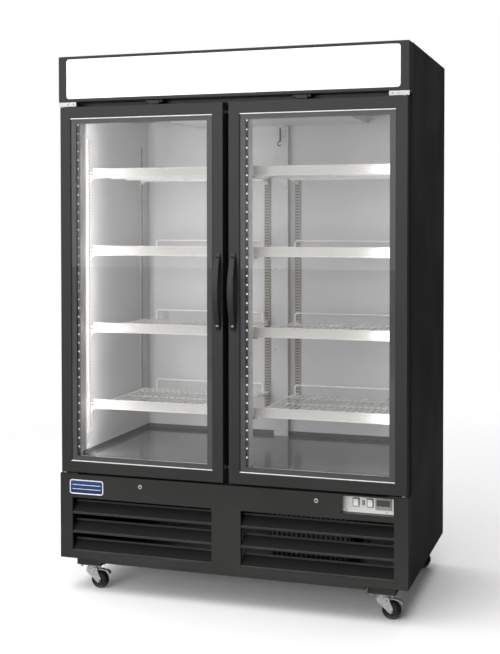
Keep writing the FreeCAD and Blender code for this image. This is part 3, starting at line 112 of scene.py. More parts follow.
class DoorSettings(bpy.types.PropertyGroup):
    """Sizes of the door trim and the handles."""
    border: size_choice("Glass border", "Width of the dark border printed on the glass", 0.021)
    bead: size_choice("Bright bead", "Height of the bright bead above and below the glass", 0.0035)
    grip_middle: size_choice("Handle width", "Face width of a handle at its middle", 0.026)
    grip_end: size_choice("Handle end", "Face width of a handle at its ends", 0.018)


class ShelfSettings(bpy.types.PropertyGroup):
    """Sizes of the shelves' wires and their standards."""
    wire: size_choice("Deck wire", "Diameter of a deck's long wires", 0.0044)
    bar: size_choice("Cross bar", "Diameter of a deck's cross bars", 0.0062)
    pitch: size_choice("Wire pitch", "One deck wire to the next", 0.025)
    rung: size_choice("Slot pitch", "One slot in a standard to the next", 0.0125)


class LightSettings(bpy.types.PropertyGroup):
    """Light given off by the object's own lamps."""
    dots: IntProperty(name="Light dots", description="Emitters on each upright light bar", default=38,
                      min=1, max=200)
    dot_glow: FloatProperty(name="Dot glow", description="Emission of each light dot", default=1.3,
                            min=0.0, soft_max=20.0)
    cover_glow: FloatProperty(name="Cover glow", description="Emission of the lamp covers",
                              default=1.0, min=0.0, soft_max=4.0)
    header_glow: FloatProperty(name="Header glow", description="Emission of the header panel",
                               default=0.72, min=0.0, soft_max=4.0)
    inside: FloatProperty(name="Interior light", description="Light from the upright bars",
                          default=3.7, min=0.0, unit="POWER")
    right_share: FloatProperty(name="Right share", description="Light of the right bars against left",
                               default=0.26, min=0.0, max=2.0)


# ---- mesh helpers --------------------------------------------------------------------------------


def at(x, y, z):
    """A place from millimetres: across from the middle, behind the front plane, above the base."""
    return Vector((x * MM, FRONT_Y + y * MM, FOOT_Z + z * MM))


def on_side(side, near, far):
    """Two distances from the middle on one side, as a low and a high place across."""
    return (near, far) if side > 0 else (-far, -near)


def loft(bm, loops, closed=False, caps=False):
    """Faces between rows of places that all have the same count."""
    rows = [[bm.verts.new(place) for place in loop] for loop in loops]
    pairs = list(zip(rows, rows[1:] + rows[:1] if closed else rows[1:]))
    for here, there in pairs:
        for i in range(len(here)):
            j = (i + 1) % len(here)
            bm.faces.new((here[i], here[j], there[j], there[i]))
    if caps:
        bm.faces.new(rows[0])
        bm.faces.new(rows[-1])


def block(bm, low, high, soft=0.0):
    """A block between two corners, with its edges rounded."""
    a = at(*[min(pair) for pair in zip(low, high)])
    b = at(*[max(pair) for pair in zip(low, high)])
    corner = [bm.verts.new((x, y, z)) for x in (a.x, b.x) for y in (a.y, b.y) for z in (a.z, b.z)]
    sides = ((0, 1, 3, 2), (4, 6, 7, 5), (0, 4, 5, 1), (2, 3, 7, 6), (0, 2, 6, 4), (1, 5, 7, 3))
    faces = [bm.faces.new([corner[i] for i in side]) for side in sides]
    if soft:
        edges = list({edge for face in faces for edge in face.edges})
        bmesh.ops.bevel(bm, geom=edges, offset=soft * MM, segments=2, profile=0.5,
                        affect="EDGES", clamp_overlap=True)


def prism(bm, outline, axis, near, far):
    """An outline of number pairs drawn across an axis, run from near to far along it."""
    place = {
        "x": lambda u, v, w: at(w, u, v),
        "y": lambda u, v, w: at(u, w, v),
        "z": lambda u, v, w: at(u, v, w),
    }[axis]
    loft(bm, [[place(u, v, w) for u, v in outline] for w in (near, far)], caps=True)


def turned(bm, profile, centre, along, steps=24, closed=False):
    """A profile of radius and distance pairs turned round a line."""
    along = Vector(along)
    across = along.orthogonal().normalized()
    up = along.cross(across)
    angles = [math.tau * k / steps for k in range(steps)]
    loops = [[centre + along * (far * MM) + (across * math.cos(a) + up * math.sin(a)) * (r * MM)
              for a in angles] for r, far in profile]
    loft(bm, loops, closed=closed, caps=not closed)


def wire(bm, places, radius, sides=8):
    """A round bar through a row of places."""
    loops = []
    across = None
    for i, place in enumerate(places):
        along = (places[min(i + 1, len(places) - 1)] - places[max(i - 1, 0)]).normalized()
        across = along.orthogonal() if across is None else across - along * across.dot(along)
        across.normalize()
        up = along.cross(across)
        angles = [math.tau * k / sides for k in range(sides)]
        loops.append([place + (across * math.cos(a) + up * math.sin(a)) * (radius * MM)
                      for a in angles])
    loft(bm, loops, caps=True)


def eased(places, radius, steps=5):
    """A row of places with its corners rounded."""
    made = [places[0]]
    for before, corner, after in zip(places, places[1:], places[2:]):
        reach = min(radius * MM, (before - corner).length / 2, (after - corner).length / 2)
        start = corner + (before - corner).normalized() * reach
        end = corner + (after - corner).normalized() * reach
        for k in range(steps + 1):
            t = k / steps
            made.append(start.lerp(corner, t).lerp(corner.lerp(end, t), t))
    return made + [places[-1]]


def rounded(x, z, y, radius=0.0, steps=0):
    """A rectangle that faces the front, with rounded corners, as a loop of places."""
    if not steps:
        return [at(x[1], y, z[1]), at(x[0], y, z[1]), at(x[0], y, z[0]), at(x[1], y, z[0])]
    radius = max(radius, 0.05)
    centres = ((x[1] - radius, z[1] - radius), (x[0] + radius, z[1] - radius),
               (x[0] + radius, z[0] + radius), (x[1] - radius, z[0] + radius))
    loop = []
    for quarter, (cx, cz) in enumerate(centres):
        for k in range(steps + 1):
            turn = math.radians(90 * (quarter + k / steps))
            loop.append(at(cx + radius * math.cos(turn), y, cz + radius * math.sin(turn)))
    return loop


def ring(bm, x, z, profile, radius=0.0, steps=0):
    """A profile of inset and depth pairs run round inside a rectangle, as one closed frame."""
    loft(bm, [rounded((x[0] + inset, x[1] - inset), (z[0] + inset, z[1] - inset), depth,
                      radius - inset, steps) for inset, depth in profile], closed=True)


def pad(bm, x, z, profile, radius=0.0, steps=0):
    """A profile of inset and depth pairs run round inside a rectangle and closed at both ends."""
    loft(bm, [rounded((x[0] + inset, x[1] - inset), (z[0] + inset, z[1] - inset), depth,
                      radius - inset, steps) for inset, depth in profile], caps=True)


def screw_head(bm, centre, facing, radius):
    """A pan head."""
    turned(bm, [(radius, 0), (radius, 0.3 * radius), (radius * 0.8, 0.55 * radius),
                (radius * 0.35, 0.62 * radius)], centre, facing, steps=16)


def cross_slot(bm, centre, facing, radius):
    """The cross recess of a screw, drawn as a dark cross on its head."""
    facing = Vector(facing)
    across = facing.orthogonal().normalized()
    up = facing.cross(across)
    low = centre + facing * (radius * 0.55 * MM)
    top = centre + facing * (radius * 0.66 * MM)
    for long, short in ((across, up), (up, across)):
        loops = [[base + long * (s * radius * 0.5 * MM) + short * (t * radius * 0.11 * MM)
                  for s, t in ((-1, -1), (1, -1), (1, 1), (-1, 1))] for base in (low, top)]
        loft(bm, loops, caps=True)


def even_flats(thing):
    """Lets wide flat faces keep an even shine right up to their rounded edges."""
    even = thing.modifiers.new("even flats", "WEIGHTED_NORMAL")
    even.keep_sharp = True
    even.weight = 100


def piece(name, body, parts, replaces=(), crease=35):
    """One named mesh from pairs of a finish and a function that builds its faces."""
    whole = bmesh.new()
    mesh = bpy.data.meshes.new(name)
    for index, (_, build) in enumerate(parts):
        bm = bmesh.new()
        build(bm)
        for face in bm.faces:
            face.material_index = index
        bmesh.ops.recalc_face_normals(bm, faces=bm.faces)
        bm.to_mesh(mesh)
        whole.from_mesh(mesh)
        bm.free()
    whole.to_mesh(mesh)
    whole.free()
    for finish, _ in parts:
        mesh.materials.append(bpy.data.materials[finish])
    mesh.shade_smooth()
    mesh.set_sharp_from_angle(angle=math.radians(crease))
    thing = bpy.data.objects.new(name, mesh)
    bpy.context.scene.collection.objects.link(thing)
    even_flats(thing)
    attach(thing, body)
    if replaces:
        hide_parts(*replaces)
    return thing


def screws(name, body, places, facing, radius, finish="zinc_plated_screw"):
    """A group of like screws."""
    def heads(bm):
        for place in places:
            screw_head(bm, place, facing, radius)

    def slots(bm):
        for place in places:
            cross_slot(bm, place, facing, radius)

    return piece(name, body, [(finish, heads), ("shadow_in_recess", slots)])


def keep_node(node, finish, soft=0.0):
    """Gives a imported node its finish, and breaks its edges."""
    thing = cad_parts[node]
    thing.data.materials.clear()
    thing.data.materials.append(bpy.data.materials[finish])
    if soft:
        edge = thing.modifiers.new("broken edges", "BEVEL")
        edge.width = soft * MM
        edge.segments = 2
        edge.limit_method = "ANGLE"
        edge.angle_limit = math.radians(40)
        edge.use_clamp_overlap = True
        edge.harden_normals = True


def add_area(name, place, aim, size, power):
    """A soft rectangular lamp that is upright, aimed, and seen only by what it lights."""
    data = bpy.data.lights.new(name, "AREA")
    data.shape = "RECTANGLE"
    data.size, data.size_y = size
    data.energy = power
    lamp = bpy.data.objects.new(name, data)
    lamp.location = place
    lamp.rotation_euler = (Vector(aim) - Vector(place)).to_track_quat("-Z", "Y").to_euler()
    lamp.visible_camera = lamp.visible_glossy = lamp.visible_transmission = False
    bpy.context.scene.collection.objects.link(lamp)


# ---- finishes ------------------------------------------------------------------------------------


def add_node(tree, kind, inputs=None, **settings):
    """A node with its settings, and its inputs set to a value or linked from a socket."""
    made = tree.nodes.new(kind)
    for key, value in settings.items():
        setattr(made, key, value)
    for key, value in (inputs or {}).items():
        if isinstance(value, bpy.types.NodeSocket):
            tree.links.new(value, made.inputs[key])
        else:
            made.inputs[key].default_value = value
    return made


def ranged(tree, value, low, high, start=0.0, end=1.0, **settings):
    """A value taken from one range to another and held at both ends."""
    return add_node(tree, "ShaderNodeMapRange", {
        "Value": value, "From Min": low, "From Max": high, "To Min": start, "To Max": end},
        **settings).outputs[0]


def maths(tree, operation, *values):
    """One sum on sockets or numbers."""
    return add_node(tree, "ShaderNodeMath", dict(enumerate(values)), operation=operation).outputs[0]


def axes(made):
    """The place across, in depth and in height, in metres, as three sockets."""
    return add_node(made["tree"], "ShaderNodeSeparateXYZ", {0: made["places"]}).outputs


def give_light(made, colour, strength):
    """Lets a finish give off light of its own."""
    made["shader"].inputs["Emission Color"].default_value = colour + (1.0,)
    made["shader"].inputs["Emission Strength"].default_value = strength


def per_metre(size_mm):
    """The texture scale that gives a feature of this size."""
    return 1000.0 / size_mm


def shade(colour, share):
    """A colour made darker or lighter, with its alpha."""
    return tuple(min(1.0, part * share) for part in colour[:3]) + (1.0,)


def surface(name, colour, rough, grain_mm, relief_mm, cloud_mm=90.0, spread=0.12, rough_spread=0.06,
            metallic=0.0, ior=1.5, stretch=(1, 1, 1)):
    """A finish with a fine relief and a slow change of colour and gloss, and its nodes by name."""
    material = bpy.data.materials.new(name)
    material.use_nodes = True
    tree = material.node_tree
    tree.nodes.clear()
    places = add_node(tree, "ShaderNodeTexCoord").outputs["Object"]
    drawn = add_node(tree, "ShaderNodeMapping", {"Vector": places, "Scale": stretch}).outputs[0]
    grain = add_node(tree, "ShaderNodeTexNoise", {"Vector": drawn, "Scale": per_metre(grain_mm),
                                                  "Detail": 3.0, "Roughness": 0.55}).outputs["Fac"]
    cloud = add_node(tree, "ShaderNodeTexNoise", {"Vector": places, "Scale": per_metre(cloud_mm),
                                                  "Detail": 4.0, "Roughness": 0.6}).outputs["Fac"]
    slow = add_node(tree, "ShaderNodeMix", {0: cloud, 6: shade(colour, 1 - spread),
                                            7: shade(colour, 1 + spread)}, data_type="RGBA")
    low, high = 0.3, 0.7  # the middle of a noise, where most of its values lie
    fine = ranged(tree, grain, low, high, 0.94, 1.06)
    tint = add_node(tree, "ShaderNodeVectorMath", {0: slow.outputs[2], 1: fine}, operation="MULTIPLY")
    gloss = ranged(tree, cloud, low, high, max(rough - rough_spread, 0.02), rough + rough_spread)
    relief = add_node(tree, "ShaderNodeBump", {"Height": grain, "Strength": 1.0,
                                               "Distance": relief_mm * MM}).outputs[0]
    shader = add_node(tree, "ShaderNodeBsdfPrincipled", {
        "Base Color": tint.outputs[0], "Roughness": gloss, "Normal": relief, "Metallic": metallic,
        "IOR": ior})
    out = add_node(tree, "ShaderNodeOutputMaterial", {"Surface": shader.outputs[0]})
    return {"tree": tree, "places": places, "cloud": cloud, "tint": tint.outputs[0], "gloss": gloss,
            "relief": relief, "shader": shader, "out": out}


def mix_in(made, share, colour, rough=None):
    """Lays a second colour, and its gloss, over a finish where a share says."""
    tree = made["tree"]
    over = add_node(tree, "ShaderNodeMix", {0: share, 6: made["tint"], 7: tuple(colour[:3]) + (1.0,)},
                    data_type="RGBA")
    made["tint"] = over.outputs[2]
    tree.links.new(over.outputs[2], made["shader"].inputs["Base Color"])
    if rough is not None:
        gloss = add_node(tree, "ShaderNodeMix", {0: share, 2: made["gloss"], 3: rough})
        made["gloss"] = gloss.outputs[0]
        tree.links.new(gloss.outputs[0], made["shader"].inputs["Roughness"])


def add_relief(made, height, relief_mm):
    """A second relief over the first."""
    relief = add_node(made["tree"], "ShaderNodeBump", {
        "Height": height, "Strength": 1.0, "Distance": relief_mm * MM, "Normal": made["relief"]})
    made["relief"] = relief.outputs[0]
    made["tree"].links.new(relief.outputs[0], made["shader"].inputs["Normal"])


def dust_low(made, height_mm, most):
    """Pale floor dust that thins out with height above the floor."""
    fall = ranged(made["tree"], axes(made)[2], 0.0, height_mm * MM, most, 0.0)
    broken = maths(made["tree"], "MULTIPLY", fall, made["cloud"])
    mix_in(made, broken, linear("#8d8a84"), 0.8)


def lines_across(made, pitch_mm, axis, relief_mm):
    """Even ridges along one axis, such as fins or ribs."""
    ridges = add_node(made["tree"], "ShaderNodeTexWave", {"Vector": made["places"],
                                                          "Scale": per_metre(pitch_mm) / 20},
                      wave_type="BANDS", bands_direction=axis, wave_profile="SIN")
    add_relief(made, ridges.outputs["Fac"], relief_mm)
    return ridges.outputs["Fac"]


def make_coats(look):
    # Powder coat on steel: sprayed and baked, so it has a fine orange peel of about 2.5 mm, an even
    # black and a soft sheen. The peel is drawn a little coarser than real so that it shows.
    for name, tone, rough in (("powder_coated_steel", 1.0, 0.36), ("powder_coated_door", 1.06, 0.34)):
        made = surface(name, shade(look.coat, tone), rough, grain_mm=2.6, relief_mm=0.035,
                       cloud_mm=240, spread=0.10, rough_spread=0.05)
        dust_low(made, 430, 0.10)
    # The same coat on thin pressed blades, where it pools at the bends and dulls with lint.
    made = surface("powder_coated_blade", shade(look.coat, 0.86), 0.42, grain_mm=2.2, relief_mm=0.03,
                   cloud_mm=70, spread=0.18)
    dust_low(made, 400, 0.16)
    # Its slanted faces carry the coat at a third of its brightness: painted shade for the shade they
    # lie in.
    made = surface("powder_coated_blade_face_painted_shade", shade(look.coat, 0.3), 0.6, grain_mm=2.2,
                   relief_mm=0.03, cloud_mm=70, spread=0.18)
    made["shader"].inputs["Specular IOR Level"].default_value = 0.25
    # Side panels: wide thin sheet, which is never quite flat, so its sheen wanders slowly.
    # The coat is drawn at a little over half its brightness here: painted shade on the sides, the back
    # and the roof.
    made = surface("powder_coated_sheet_painted_shade", shade(look.coat, 0.55), 0.42, grain_mm=2.6,
                   relief_mm=0.035, cloud_mm=320, spread=0.12)
    add_relief(made, made["cloud"], 0.5)
    dust_low(made, 430, 0.015)
    # Painted lining: prepainted aluminium sheet, pale grey, with a faint roller texture.
    made = surface("prepainted_liner", look.liner, 0.34, grain_mm=3.0, relief_mm=0.03, cloud_mm=260,
                   spread=0.03)
    add_relief(made, made["cloud"], 0.5)
    # The lining's floor is drawn much darker than the painted walls, and shinier.
    floor = FOOT_Z + LINER_FLOOR * MM
    low = ranged(made["tree"], axes(made)[2], floor - 1 * MM, floor + 1 * MM, 1.0, 0.0)
    mix_in(made, low, shade(look.liner, 0.22), 0.12)
    # The same sheet folded into the air duct and the evaporator's cover.
    surface("prepainted_duct", look.liner, 0.34, grain_mm=3.0, relief_mm=0.03, cloud_mm=180,
            spread=0.03)
    # Control plate: sprayed enamel on steel, flatter and paler than the powder coat.
    surface("sprayed_enamel_plate", look.control, 0.4, grain_mm=1.4, relief_mm=0.015, cloud_mm=40,
            spread=0.05)
    # Compressor: thick dipped enamel, black and glossy, that runs a little.
    surface("dipped_enamel_shell", linear("#171718"), 0.18, grain_mm=6, relief_mm=0.08, cloud_mm=50)
    # Name plate: glossy blue stove enamel, darker towards its foot.
    made = surface("stove_enamel_badge", look.badge, 0.2, grain_mm=1.2, relief_mm=0.01, cloud_mm=30,
                   spread=0.10)
    low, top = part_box("name_plate")
    foot = ranged(made["tree"], axes(made)[2], low.z, top.z, 0.75, 0.0)
    mix_in(made, foot, shade(look.badge, 0.35))


def make_plastics(look):
    # Moulded ABS: a fine spark-eroded grain of about 0.6 mm and a dull sheen. Drawn at 0.9 mm.
    surface("moulded_abs", look.moulding, 0.42, grain_mm=0.9, relief_mm=0.05, cloud_mm=60, spread=0.08,
            ior=1.53)
    # Rocker switches and clips: white nylon and polycarbonate, smooth, slightly glossy.
    surface("moulded_white_plastic", linear("#e6e5e1"), 0.28, grain_mm=1.0, relief_mm=0.01,
            cloud_mm=25, spread=0.03, ior=1.55)
    # Grey moulded controller case, with a fine grain.
    surface("moulded_grey_case", linear("#8d908d"), 0.4, grain_mm=0.8, relief_mm=0.03, cloud_mm=20)
    # Pilot lamp: a tinted lens, unlit.
    surface("tinted_lens", linear("#8c7f6a"), 0.12, grain_mm=1.5, relief_mm=0.02, cloud_mm=10)
    # Display window: smoked acrylic, dark grey and glossy.
    surface("smoked_acrylic", linear("#4c4f4c"), 0.06, grain_mm=5, relief_mm=0.004, cloud_mm=20)
    # Extruded vinyl of the breaker frame, with the faint lines of its die. It is pale round the
    # opening. Past the side walls and beyond the opening's foot and head it is painted dark, as
    # painted shade behind the door frames and under the header.
    made = surface("extruded_vinyl", look.breaker, 0.4, grain_mm=1.6, relief_mm=0.02, cloud_mm=120,
                   spread=0.06)
    tree = made["tree"]
    across, _, height = axes(made)
    outer = ranged(tree, maths(tree, "ABSOLUTE", across), 641 * MM, 642 * MM)
    middle = FOOT_Z + (OPENING_FOOT + OPENING_HEAD) / 2 * MM
    away = maths(tree, "ABSOLUTE", maths(tree, "SUBTRACT", height, middle))
    ends = ranged(tree, away, 672 * MM, 674 * MM)
    mix_in(made, maths(tree, "MAXIMUM", outer, ends), linear("#3a3d3e"))
    # The mullion's cover: the same vinyl in black.
    surface("extruded_vinyl_dark", linear("#1d1e1e"), 0.42, grain_mm=1.6, relief_mm=0.02, cloud_mm=120)
    # Price strips: white PVC extrusion with long die lines, and a warmer card channel.
    surface("extruded_pvc", look.strip, 0.3, grain_mm=1.2, relief_mm=0.012, cloud_mm=80, spread=0.02,
            stretch=(0.05, 1, 1))
    surface("pvc_card_channel", look.insert, 0.36, grain_mm=1.2, relief_mm=0.012, cloud_mm=80,
            spread=0.03, stretch=(0.05, 1, 1))
    # Gaskets: plasticised PVC bellows, matt black with a waxy bloom.
    surface("bellows_gasket", linear("#191919"), 0.55, grain_mm=1.8, relief_mm=0.05, cloud_mm=45,
            spread=0.25)
    # Wheel treads: cast polyurethane, black, scuffed pale where it meets the floor.
    made = surface("cast_polyurethane", look.tyre, 0.46, grain_mm=1.1, relief_mm=0.06, cloud_mm=14,
                   spread=0.3)
    dust_low(made, 30, 0.5)
    # Rubber plugs, glazing sealant and the sleeve of the thermostat's bulb.
    surface("moulded_rubber", linear("#141414"), 0.6, grain_mm=1.5, relief_mm=0.06, cloud_mm=18)
    # Foamed polyurethane, only seen where a panel is taken off.
    surface("foamed_polyurethane", linear("#d9c88c"), 0.85, grain_mm=2.5, relief_mm=0.6, cloud_mm=40)
    # Printed ceramic border on the glass: fired dark grey, dead smooth.
    surface("fired_ceramic_print", linear("#545657"), 0.16, grain_mm=4, relief_mm=0.002, cloud_mm=150,
            spread=0.10)
    # The dark bottom of a screw's recess or a slot.
    surface("shadow_in_recess", linear("#0d0d0d"), 0.7, grain_mm=1, relief_mm=0.01, cloud_mm=10)


def make_metals(look):
    # Zinc plate with a clear passivate: bright, slightly blue, rolled and a little streaky.
    for name, tone, rough in (("zinc_plated_pressing", 1.0, 0.30), ("zinc_plated_screw", 0.92, 0.26)):
        surface(name, shade(look.zinc, tone), rough, grain_mm=1.1, relief_mm=0.02, cloud_mm=12,
                spread=0.12, rough_spread=0.08, metallic=0.6)
    # Chrome plate on locks and brackets: mirror bright over a polished casting.
    surface("chrome_plate", linear("#f2f2f1"), 0.16, grain_mm=2.0, relief_mm=0.004, cloud_mm=20,
            spread=0.04, rough_spread=0.03, metallic=0.75)
    # Bright-dipped aluminium bead along the glass: drawn, so its grain runs along it.
    surface("bright_aluminium_bead", linear("#f1f2f0"), 0.34, grain_mm=1.0, relief_mm=0.02,
            cloud_mm=60, spread=0.04, metallic=0.25, stretch=(0.04, 1, 1))
    # Mill-finish aluminium fins, pressed at about 2 mm, drawn at 3 mm so that they show.
    made = surface("stacked_aluminium_fins", linear("#a9adaf"), 0.36, grain_mm=2.0, relief_mm=0.05,
                   cloud_mm=30, spread=0.15, metallic=1.0)
    # Dark bands along the fins: painted shade in the gaps between them.
    dark = lines_across(made, 3.0, "X", 0.8)
    mix_in(made, dark, linear("#2b2d2e"), 0.6)
    # Copper tube: drawn bright, tarnished brown in patches.
    made = surface("drawn_copper", linear("#c07a52"), 0.28, grain_mm=2.0, relief_mm=0.02, cloud_mm=22,
                   spread=0.3, metallic=1.0)
    # Galvanised sheet: frosted crystals about 9 mm across, each with its own grey.
    made = surface("galvanised_sheet", linear("#9fa3a5"), 0.42, grain_mm=2.0, relief_mm=0.02,
                   cloud_mm=60, spread=0.10, metallic=1.0)
    flake = add_node(made["tree"], "ShaderNodeTexVoronoi", {"Vector": made["places"],
                                                            "Scale": per_metre(9.0)})
    tone = add_node(made["tree"], "ShaderNodeSeparateColor", {0: flake.outputs["Color"]}).outputs[0]
    mix_in(made, maths(made["tree"], "MULTIPLY", tone, 0.45), linear("#c9cdd0"), 0.3)
    # Slotted shelf standards: prepainted roll-formed steel, warm grey.
    surface("roll_formed_standard", linear("#b4b0ab"), 0.36, grain_mm=1.2, relief_mm=0.02,
            cloud_mm=50, spread=0.06)
    # The channel behind a standard's slots: the same strip drawn darker, as painted shade in the
    # slots.
    surface("roll_formed_channel_painted_shade", linear("#7a746e"), 0.6, grain_mm=1.2, relief_mm=0.03, cloud_mm=30,
            spread=0.15)
    # Epoxy coat on wire: fluidised dip, thick and smooth, a little grey in the valleys.
    surface("epoxy_coated_wire", look.wire, 0.3, grain_mm=2.2, relief_mm=0.03, cloud_mm=35,
            spread=0.05)


def make_lights_and_glass(look, lamps):
    # Opal acrylic, lit from behind by one bar: even in its middle, greyer at both ends.
    made = surface("lit_opal_acrylic", look.acrylic, 0.22, grain_mm=4, relief_mm=0.006, cloud_mm=200,
                   spread=0.01)
    tree = made["tree"]
    across, _, height = axes(made)
    low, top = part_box("header_light_panel")
    ends = ranged(tree, maths(tree, "ABSOLUTE", across), top.x * 0.78, top.x, 1.0, 0.3,
                  interpolation_type="SMOOTHSTEP")
    fall = ranged(tree, height, low.z, top.z, 0.93, 1.0)
    glow = add_node(tree, "ShaderNodeVectorMath", {
        0: shade(look.acrylic, 1.0)[:3], 1: maths(tree, "MULTIPLY", ends, fall)},
        operation="MULTIPLY").outputs[0]
    give_light(made, tuple(look.acrylic), lamps.header_glow)
    tree.links.new(glow, made["shader"].inputs["Emission Color"])
    # Emitters on the light bars: yellow-white chips under a clear dome.
    made = surface("lamp_emitter", linear("#fffdf6"), 0.2, grain_mm=2, relief_mm=0.01, cloud_mm=10,
                   spread=0.01)
    give_light(made, linear("#fffdf6"), lamps.dot_glow)
    # Covers along the mullion: frosted acrylic that the lamps light from behind.
    made = surface("frosted_lamp_cover", linear("#f4f4f2"), 0.35, grain_mm=1.5, relief_mm=0.01,
                   cloud_mm=30, spread=0.02)
    give_light(made, linear("#fdfdfb"), lamps.cover_glow)
    # Boards that carry the emitters: white solder resist.
    surface("white_lamp_board", linear("#cfd1d0"), 0.35, grain_mm=1.4, relief_mm=0.02, cloud_mm=20,
            spread=0.05)
    # Float glass: fire-polished, clear, and smooth enough for a mirror-sharp reflection. Light from
    # the lamps passes through it.
    glass = bpy.data.materials.new("clear_float_glass")
    glass.use_nodes = True
    tree = glass.node_tree
    tree.nodes.clear()
    places = add_node(tree, "ShaderNodeTexCoord").outputs["Object"]
    wave = add_node(tree, "ShaderNodeTexNoise", {"Vector": places, "Scale": per_metre(300.0),
                                                 "Detail": 1.0}).outputs["Fac"]
    haze = ranged(tree, wave, 0.0, 1.0, 0.0, 0.004)
    shader = add_node(tree, "ShaderNodeBsdfPrincipled", {
        "Base Color": (1.0, 1.0, 1.0, 1.0), "Roughness": haze, "IOR": 1.45,
        "Transmission Weight": 1.0})
    through = add_node(tree, "ShaderNodeBsdfTransparent", {"Color": linear("#fafafa") + (1.0,)})
    lamp = add_node(tree, "ShaderNodeLightPath").outputs["Is Shadow Ray"]
    either = add_node(tree, "ShaderNodeMixShader", {0: lamp, 1: shader.outputs[0],
                                                    2: through.outputs[0]})
    add_node(tree, "ShaderNodeOutputMaterial", {"Surface": either.outputs[0]})


class MERCHANDISER_OT_finishes(bpy.types.Operator):
    """Makes every finish"""
    bl_idname = "merchandiser.finishes"
    bl_label = "Finishes"

    def execute(self, context):
        look = context.scene.merchandiser_finishes
        make_coats(look)
        make_plastics(look)
        make_metals(look)
        make_lights_and_glass(look, context.scene.merchandiser_lamps)
        return {"FINISHED"}


# ---- cabinet -------------------------------------------------------------------------------------


class MERCHANDISER_OT_cabinet(bpy.types.Operator):
    """Finishes the sheet-metal cabinet, and adds its back, its roof and their screws"""
    bl_idname = "merchandiser.cabinet"
    bl_label = "Cabinet"

    def execute(self, context):
        # The side panels take the darker copy of the coat: painted shade.
        for _, hand in SIDES:
            keep_node(f"{hand}_side_panel", "powder_coated_sheet_painted_shade", 0.5)
        keep_node("insulation", "foamed_polyurethane")
        keep_node("inner_liner", "prepainted_liner")
        keep_node("base_deck", "galvanised_sheet")
        low, high, half = MACHINE_TOP, HEADER_TOP - 1.5, HALF_WIDTH - 1.5

        def back(bm):
            pad(bm, (-half, half), (low, high),
                [(0, BACK + 0.55), (0, BACK + 1.2), (0.6, BACK + 1.6), (60, BACK + 1.6),
                 (66, BACK + 1), (300, BACK + 1)], radius=3, steps=3)

        piece("back_sheet", "cabinet", [("powder_coated_sheet_painted_shade", back)], ("back_panel",))
        heads = [at(x, BACK + 0.3, z) for z in (low + 18, high - 18)
                 for x in (-650, -430, -215, 0, 215, 430, 650)]
        heads += [at(x, BACK + 0.3, z) for x in (-666, 666) for z in (560, 800, 1040, 1420, 1680)]
        screws("back_sheet_screws", "cabinet", heads, (0, 1, 0), 2.4)

        def roof(bm):
            sheet = HEADER_TOP - 1.45
            block(bm, (0.1 - half, 62.2, sheet), (half - 0.1, BACK, sheet + 0.75), soft=0.3)
            for x in (-560, 560):
                block(bm, (x - 60, 640, sheet + 0.65), (x + 60, 760, sheet + 1.25), soft=0.25)

        piece("roof_sheet", "cabinet", [("powder_coated_sheet_painted_shade", roof)], ("top_panel",))
        heads = [at(x, y, HEADER_TOP - 1) for y in (90, 440, 785)
                 for x in (-640, -320, 0, 320, 640)]
        screws("roof_screws", "cabinet", heads, (0, 0, 1), 1.4)
        return {"FINISHED"}


class MERCHANDISER_OT_header(bpy.types.Operator):
    """Builds the folded header round its lit window"""
    bl_idname = "merchandiser.header"
    bl_label = "Header"

    def execute(self, context):
        keep_node("header_light_panel", "lit_opal_acrylic")
        x, z = (-HALF_WIDTH, HALF_WIDTH), (HEADER_FOOT, HEADER_TOP)
        window = 33  # side of the header to the window
        foot = 13  # bottom of the header to the window
        top = 11  # top of the window to the top of the header

        def shell(bm):
            loops = []
            for inset, depth in ((0, 62), (0, 2.5), (0.4, 1.0), (1.2, 0.3), (2.5, 0)):
                loops.append(rounded((x[0] + inset, x[1] - inset), (z[0] + inset, z[1] - inset),
                                     depth, 4 - inset, 5))
            for grow, depth in ((2.0, 0), (0.6, 0.4), (0, 1.6), (0, 3.0)):
                loops.append(rounded((x[0] + window - grow, x[1] - window + grow),
                                     (z[0] + foot - grow, z[1] - top + grow), depth, 11 + grow, 5))
            for inset, depth in ((1.5, 3.0), (1.5, 62)):
                loops.append(rounded((x[0] + inset, x[1] - inset), (z[0] + inset, z[1] - inset),
                                     depth, 3, 5))
            loft(bm, loops, closed=True)

        piece("header_shell", "cabinet", [("powder_coated_steel", shell)], ("header_housing",),
              crease=50)

        def bead(bm):
            ring(bm, (x[0] + window, x[1] - window), (z[0] + foot, z[1] - top),
                 [(0, 3.0), (0, 1.8), (1.2, 1.2), (3.4, 1.5), (4.2, 2.3), (4.2, 4.4), (0, 4.4)],
                 radius=11, steps=6)

        piece("header_window_bead", "cabinet", [("moulded_white_plastic", bead)])

        def stops(bm):
            for side, _ in SIDES:
                centre = side * 290
                foot_z, head_z = DOOR_HEAD, HEADER_FOOT
                block(bm, (centre - 34, 8, foot_z + 8), (centre + 34, 52, head_z - 0.4), soft=2)
                block(bm, (centre - 22, 4, foot_z + 2.5), (centre + 22, 12, head_z - 3), soft=1.5)
                block(bm, (centre - 26, 60, foot_z + 1.5), (centre + 30, 61.9, head_z - 1), soft=0.6)

        piece("door_catch_housings", "cabinet", [("moulded_abs", stops)])
        return {"FINISHED"}


